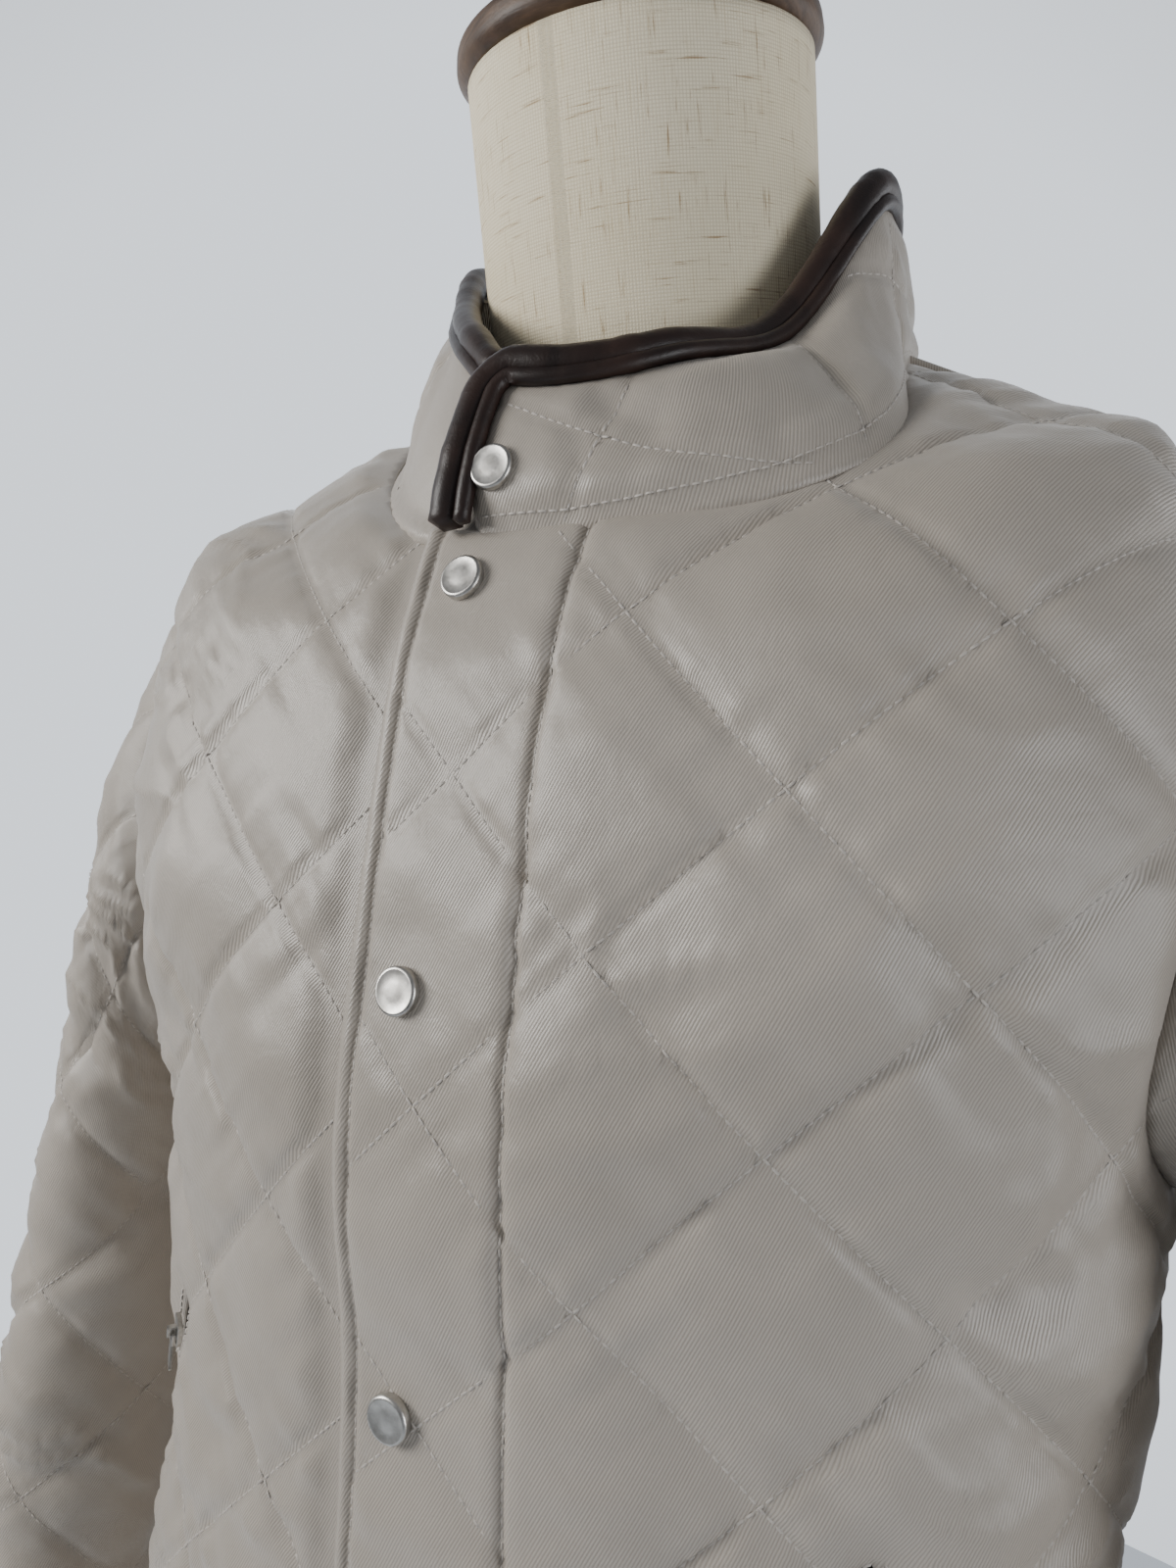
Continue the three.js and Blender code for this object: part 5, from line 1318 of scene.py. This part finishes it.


# Pockets: backing, teeth, slider and pull
def boxes_mesh(name, boxes, place, bevel):
    """Boxes given by their corners, rounded and placed together."""
    bm = bmesh.new()
    for x0, x1, y0, y1, z0, z1 in boxes:
        size = Matrix.Diagonal((x1 - x0, y1 - y0, z1 - z0, 1))
        mid = Matrix.Translation(((x0 + x1) / 2, (y0 + y1) / 2, (z0 + z1) / 2))
        bmesh.ops.create_cube(bm, size=1, matrix=mid @ size)
    bmesh.ops.bevel(bm, geom=bm.edges[:], offset=bevel, segments=2, profile=0.7, affect="EDGES")
    mesh = bpy.data.meshes.new(name)
    bmesh.ops.transform(bm, matrix=Matrix.Scale(MM, 4) @ place, verts=bm.verts)
    bm.to_mesh(mesh)
    bm.free()
    obj = bpy.data.objects.new(name, mesh)
    bpy.context.scene.collection.objects.link(obj)
    return obj


SLIDER = {"half": 4.2, "bottom": -11, "top": 0, "base": 0.5, "plate": 2}
CROWN = {"half": 0.9, "low": -7.4, "high": -2.2, "wall": 1.1, "hollow": 2.2}
PULL = {"width": 5.4, "arm": 1.4, "long": 19.5, "thick": 1.1, "bar": 1.1}
ZIP_TILT = math.radians(21)
PLATFORM = SLIDER["base"] + SLIDER["plate"]


def zip_frame(side):
    u, v = POCKET_LINE[0]
    return frame_on(front_sheet, u + 3.6, v - 9.0, CLOTH + 0.3, side) @ Matrix.Rotation(side * ZIP_TILT, 4, "Z")


def zip_slider(side, label):
    h, c = SLIDER["half"], CROWN
    top = PLATFORM + c["hollow"]
    boxes = [
        (-h, h, SLIDER["bottom"] + 3, SLIDER["top"], SLIDER["base"], PLATFORM),
        (-h * 0.7, h * 0.7, SLIDER["bottom"], SLIDER["bottom"] + 4, SLIDER["base"], PLATFORM),
        (-c["half"], c["half"], c["low"], c["low"] + c["wall"], PLATFORM - 0.4, top + c["wall"]),
        (-c["half"], c["half"], c["high"] - c["wall"], c["high"], PLATFORM - 0.4, top + c["wall"]),
        (-c["half"], c["half"], c["low"], c["high"], top, top + c["wall"]),
    ]
    obj = boxes_mesh(f"zip_slider_{label}_metal", boxes, zip_frame(side), 0.28)
    finish_piece(obj, METAL, [f"zip_slider_{label}"])


def zip_pull(side, label):
    h = PULL["width"] / 2
    bar_y = (CROWN["low"] + CROWN["high"]) / 2
    bar_z = PLATFORM + CROWN["hollow"] / 2
    z0, z1 = bar_z - PULL["thick"] / 2, bar_z + PULL["thick"] / 2
    top = bar_y + PULL["bar"] / 2
    bottom = top - PULL["long"]
    window = CROWN["low"] - 2.4
    boxes = [
        (-h, h, top - PULL["bar"], top, z0, z1), (-h, -h + PULL["arm"], bottom + 1, top, z0, z1),
        (h - PULL["arm"], h, bottom + 1, top, z0, z1), (-h, h, bottom + 1.2, window, z0, z1),
        (-h * 0.72, h * 0.72, bottom, bottom + 2.4, z0, z1),
    ]
    obj = boxes_mesh(f"zip_pull_{label}_metal", boxes, zip_frame(side), 0.25)
    finish_piece(obj, METAL, [f"zip_pull_{label}"], body=f"pull_{label}")


def zip_teeth(side, label):
    line = along(POCKET_LINE, 2.0, closed=False)[3:]
    boxes = []
    mesh_parts = []
    t = np.gradient(line, axis=0)
    t /= np.linalg.norm(t, axis=1, keepdims=True)
    n = np.stack([-t[:, 1], t[:, 0]], 1)
    for k, (p, q) in enumerate(zip(line, n)):
        off = (POCKET_HALF - 1.2) * (1 if k % 2 else -1)
        place = frame_on(front_sheet, p[0] + q[0] * off, p[1] + q[1] * off, -1.6, side)
        turn = Matrix.Rotation(side * math.atan2(t[k][0], -t[k][1]), 4, "Z")
        mesh_parts.append(place @ turn)
    bm = bmesh.new()
    for place in mesh_parts:
        size = Matrix.Diagonal((2.4, 1.1, 1.2, 1))
        bmesh.ops.create_cube(bm, size=1, matrix=Matrix.Scale(MM, 4) @ place @ size)
    bmesh.ops.bevel(bm, geom=bm.edges[:], offset=0.25 * MM, segments=1, affect="EDGES")
    mesh = bpy.data.meshes.new(f"zip_teeth_{label}")
    bm.to_mesh(mesh)
    bm.free()
    obj = bpy.data.objects.new(f"zip_teeth_{label}", mesh)
    bpy.context.scene.collection.objects.link(obj)
    finish_piece(obj, METAL)


backing_line = [(131, -81), *POCKET_LINE[1:-1], (192, -255)]
backing_edge = slot_round(backing_line, BACKING_HALF)
for label, side, panel_high, panel_edge in (("left", 1, left_high, left_edge), ("right", -1, right_high, right_edge)):
    backing = cloth_panel(f"pocket_backing_{label}_cloth", front_sheet, backing_edge, backing_line[0],
                          lambda u, v, d: np.full(u.shape, -3.2), lambda u, v: np.full(u.shape, -4.0), side=side,
                          steps=10)
    finish_piece(backing, POCKET, [f"pocket_backing_{label}"])
    zip_slider(side, label)
    zip_pull(side, label)
    zip_teeth(side, label)
    seam = along(slot_round(POCKET_LINE, POCKET_HALF + 3.4), 1.5)
    stitched(f"stitches_pocket_{label}", front_sheet, [seam], on_cloth(panel_high, panel_edge, [pocket_slot]), side,
             THREAD)


# Dress form
FORM_CLEARANCE = 7.2
SHOULDER_CLEARANCE = 10


def form_rings():
    n = 96
    turn = 2 * np.pi * np.arange(n) / n
    turn = turn + 0.2 * np.sin(2 * turn)
    lean = math.atan2(NECK_BASE[0] - NECK_TOP[0], NECK_TOP[1] - NECK_BASE[1])

    def inset(t):
        e = 0.05
        clearance = mix(FORM_CLEARANCE, SHOULDER_CLEARANCE, smooth((t - ARMPIT_ROW) / 1.5))
        m = np.cross(body_point(turn + e, t) - body_point(turn - e, t), body_point(turn, t + e) - body_point(turn, t - e))
        return body_point(turn, t) - m * clearance / np.linalg.norm(m, axis=1, keepdims=True)

    def neck_ring(s):
        c = -NECK_RADIUS * np.cos(turn)
        return np.stack([NECK_RADIUS * np.sin(turn), mix(NECK_BASE[0], NECK_TOP[0], s) + c * math.cos(lean),
                         mix(NECK_BASE[1], NECK_TOP[1], s) + NECK_HEIGHT + c * math.sin(lean)], -1)

    hem = inset(0.02)
    bottom = FORM_BOTTOM + NECK_HEIGHT
    rings = []
    for shrink, up in ((0.2, 0), (0.6, 0), (0.97, 0), (0.985, 1.5), (0.995, 6)):
        rings.append(np.stack([hem[:, 0] * shrink, hem[:, 1] * shrink, np.full(n, bottom + up)], -1))
    rings += [inset(t) for t in np.linspace(0.02, 7.3, 60)]
    last = inset(7.5)
    foot = neck_ring(-0.55)
    for f in np.linspace(0, 0.7, 6):
        rings.append(mix(last, foot, smooth(f) * 0.85))
    rings += [neck_ring(s) for s in np.linspace(-0.3, 1, 24)]
    rings.append(mix(neck_ring(1.0), neck_ring(1.0).mean(0), 0.5))
    return rings


rings = form_rings()
count = len(rings[0])
verts = np.vstack([*rings, rings[0].mean(0)[None], rings[-1].mean(0)[None]])
faces = []
for i in range(len(rings) - 1):
    for j in range(count):
        a, b = i * count + j, i * count + (j + 1) % count
        faces.append((a, b, b + count, a + count))
for j in range(count):
    k = (j + 1) % count
    faces.append((len(verts) - 2, k, j))
    faces.append((len(verts) - 1, (len(rings) - 1) * count + j, (len(rings) - 1) * count + k))
form_uv = []
for i, ring in enumerate(rings):
    around = np.concatenate([[0], np.cumsum(np.linalg.norm(np.diff(ring, axis=0), axis=1))])
    form_uv += [(s, ring[:, 2].mean()) for s in around]
form_uv += [(0, 0), (0, 0)]
form = mesh_object("form_linen_cover", verts, faces, form_uv)
finish_piece(form, LINEN, ["form_torso"])

CAP_PROFILE = [
    (0, 0), (69.5, 0), (73, 4), (72, 12), (65, 16.5), (61, 17), (60, 22), (53, 26.6),
    (51, 27), (49, 32), (36, 36.5), (20, 39.5), (17, 46), (21.5, 57), (22, 66), (13, 76), (0, 78),
]
lean = math.atan2(NECK_BASE[0] - NECK_TOP[0], NECK_TOP[1] - NECK_BASE[1])
cap_place = Matrix.Translation((0, NECK_TOP[0], NECK_TOP[1] + NECK_HEIGHT + 0.3)) @ Matrix.Rotation(lean, 4, "X")
cap = lathe("neck_cap_wood", rounded(CAP_PROFILE, 2.4, 5), 96, cap_place)
finish_piece(cap, WOOD, ["neck_cap"])
POLE_TOP = FORM_BOTTOM + NECK_HEIGHT - 0.3
pole = lathe("stand_pole_wood", rounded([
    (0, 34.3), (POLE_RADIUS + 4, 34.3), (POLE_RADIUS + 4, 40), (POLE_RADIUS, 46), (POLE_RADIUS, POLE_TOP - 20),
    (POLE_RADIUS + 6, POLE_TOP - 8), (POLE_RADIUS + 6, POLE_TOP), (0, POLE_TOP)], 1.5), 64)
finish_piece(pole, WOOD, ["stand_pole"])
base = lathe("stand_base_wood", rounded([
    (0, 0), (BASE_RADIUS - 3, 0), (BASE_RADIUS, 4), (BASE_RADIUS, 12), (BASE_RADIUS - 6, 18), (40, 22),
    (30, 30), (22, 34), (0, 34)], 2.5), 96)
finish_piece(base, WOOD, ["stand_base"])


# Camera at the photograph's angle
AZIMUTH = math.radians(29.19)
PITCH = math.radians(-0.69)
ROLL = math.radians(2.71)
FOCAL_PIXELS = 1070.1
IMAGE_WIDTH = 1200
SENSOR = 36
CAMERA_PLACE = (0.19749, -0.39383, 0.73332)
forward = Vector((-math.sin(AZIMUTH) * math.cos(PITCH), math.cos(AZIMUTH) * math.cos(PITCH), -math.sin(PITCH)))
right = Vector((math.cos(AZIMUTH), math.sin(AZIMUTH), 0))
up = right.cross(forward)
right_rolled = right * math.cos(ROLL) + up * math.sin(ROLL)
up_rolled = up * math.cos(ROLL) - right * math.sin(ROLL)
camera_data = bpy.data.cameras.new("camera")
camera_data.sensor_fit = "HORIZONTAL"
camera_data.sensor_width = SENSOR
camera_data.lens = FOCAL_PIXELS / IMAGE_WIDTH * SENSOR
camera_data.clip_start = 0.01
camera = bpy.data.objects.new("camera", camera_data)
bpy.context.scene.collection.objects.link(camera)
turn = Matrix((right_rolled, up_rolled, -forward)).transposed().to_4x4()
camera.matrix_world = Matrix.Translation(CAMERA_PLACE) @ turn
bpy.context.scene.camera = camera


# Floor, wall and lights
def stage_material(name, colour):
    m = Nodes(name)
    m.link(m.ramp(m.noise(m.coords("Object"), 3.0, 2.0), [(0.3, colour), (0.7, tuple(c * 1.03 for c in colour))]),
           m.shader.inputs["Base Color"])
    m.set(Roughness=0.9)
    return m.material


FLOOR_RADIUS = 0.85
FLOOR_SIDES = 96


PALE = stage_material("pale_backdrop", (0.62, 0.66, 0.71))
turns = [2 * math.pi * k / FLOOR_SIDES for k in range(FLOOR_SIDES)]
floor_mesh = bpy.data.meshes.new("floor")
floor_mesh.from_pydata([(FLOOR_RADIUS * math.cos(t), FLOOR_RADIUS * math.sin(t), -0.0005) for t in turns], [],
                       [list(range(FLOOR_SIDES))])
floor = bpy.data.objects.new("floor", floor_mesh)
floor.data.materials.append(PALE)
bpy.context.scene.collection.objects.link(floor)


def area_light(name, place, target, size, power, colour=(1, 1, 1)):
    data = bpy.data.lights.new(name, "AREA")
    data.shape = "RECTANGLE"
    data.size, data.size_y = size
    data.energy = power
    data.color = colour
    obj = bpy.data.objects.new(name, data)
    obj.location = place
    obj.rotation_euler = (Vector(target) - Vector(place)).to_track_quat("-Z", "Y").to_euler()
    bpy.context.scene.collection.objects.link(obj)


CHEST = (0, -0.1, 0.7)
area_light("key", (-1.25, -1.15, 1.15), CHEST, (0.8, 0.8), 33, (1.0, 0.99, 0.97))
area_light("fill", (1.7, -0.5, 0.55), CHEST, (0.6, 0.9), 15, (0.95, 0.97, 1.0))
area_light("rim", (1.2, 1.2, 1.0), CHEST, (1.0, 1.0), 7, (0.95, 0.97, 1.0))
area_light("back", (-0.9, 1.4, 1.2), CHEST, (1.0, 1.0), 8, (0.95, 0.97, 1.0))
world = bpy.data.worlds.new("studio")
world.use_nodes = True
tree = world.node_tree
facing_wall = tree.nodes.new("ShaderNodeVectorMath")
facing_wall.operation = "DOT_PRODUCT"
facing_wall.inputs[1].default_value = (-math.sin(AZIMUTH), math.cos(AZIMUTH), 0)
tree.links.new(tree.nodes.new("ShaderNodeTexCoord").outputs["Generated"], facing_wall.inputs[0])
wall_tone = tree.nodes.new("ShaderNodeValToRGB")
wall_tone.color_ramp.elements[0].position = 0.35
wall_tone.color_ramp.elements[0].color = (0.20, 0.21, 0.225, 1)
wall_tone.color_ramp.elements[1].position = 0.80
wall_tone.color_ramp.elements[1].color = (1.18, 1.26, 1.36, 1)
tree.links.new(facing_wall.outputs["Value"], wall_tone.inputs["Fac"])
tree.links.new(wall_tone.outputs["Color"], tree.nodes["Background"].inputs["Color"])
bpy.context.scene.world = world
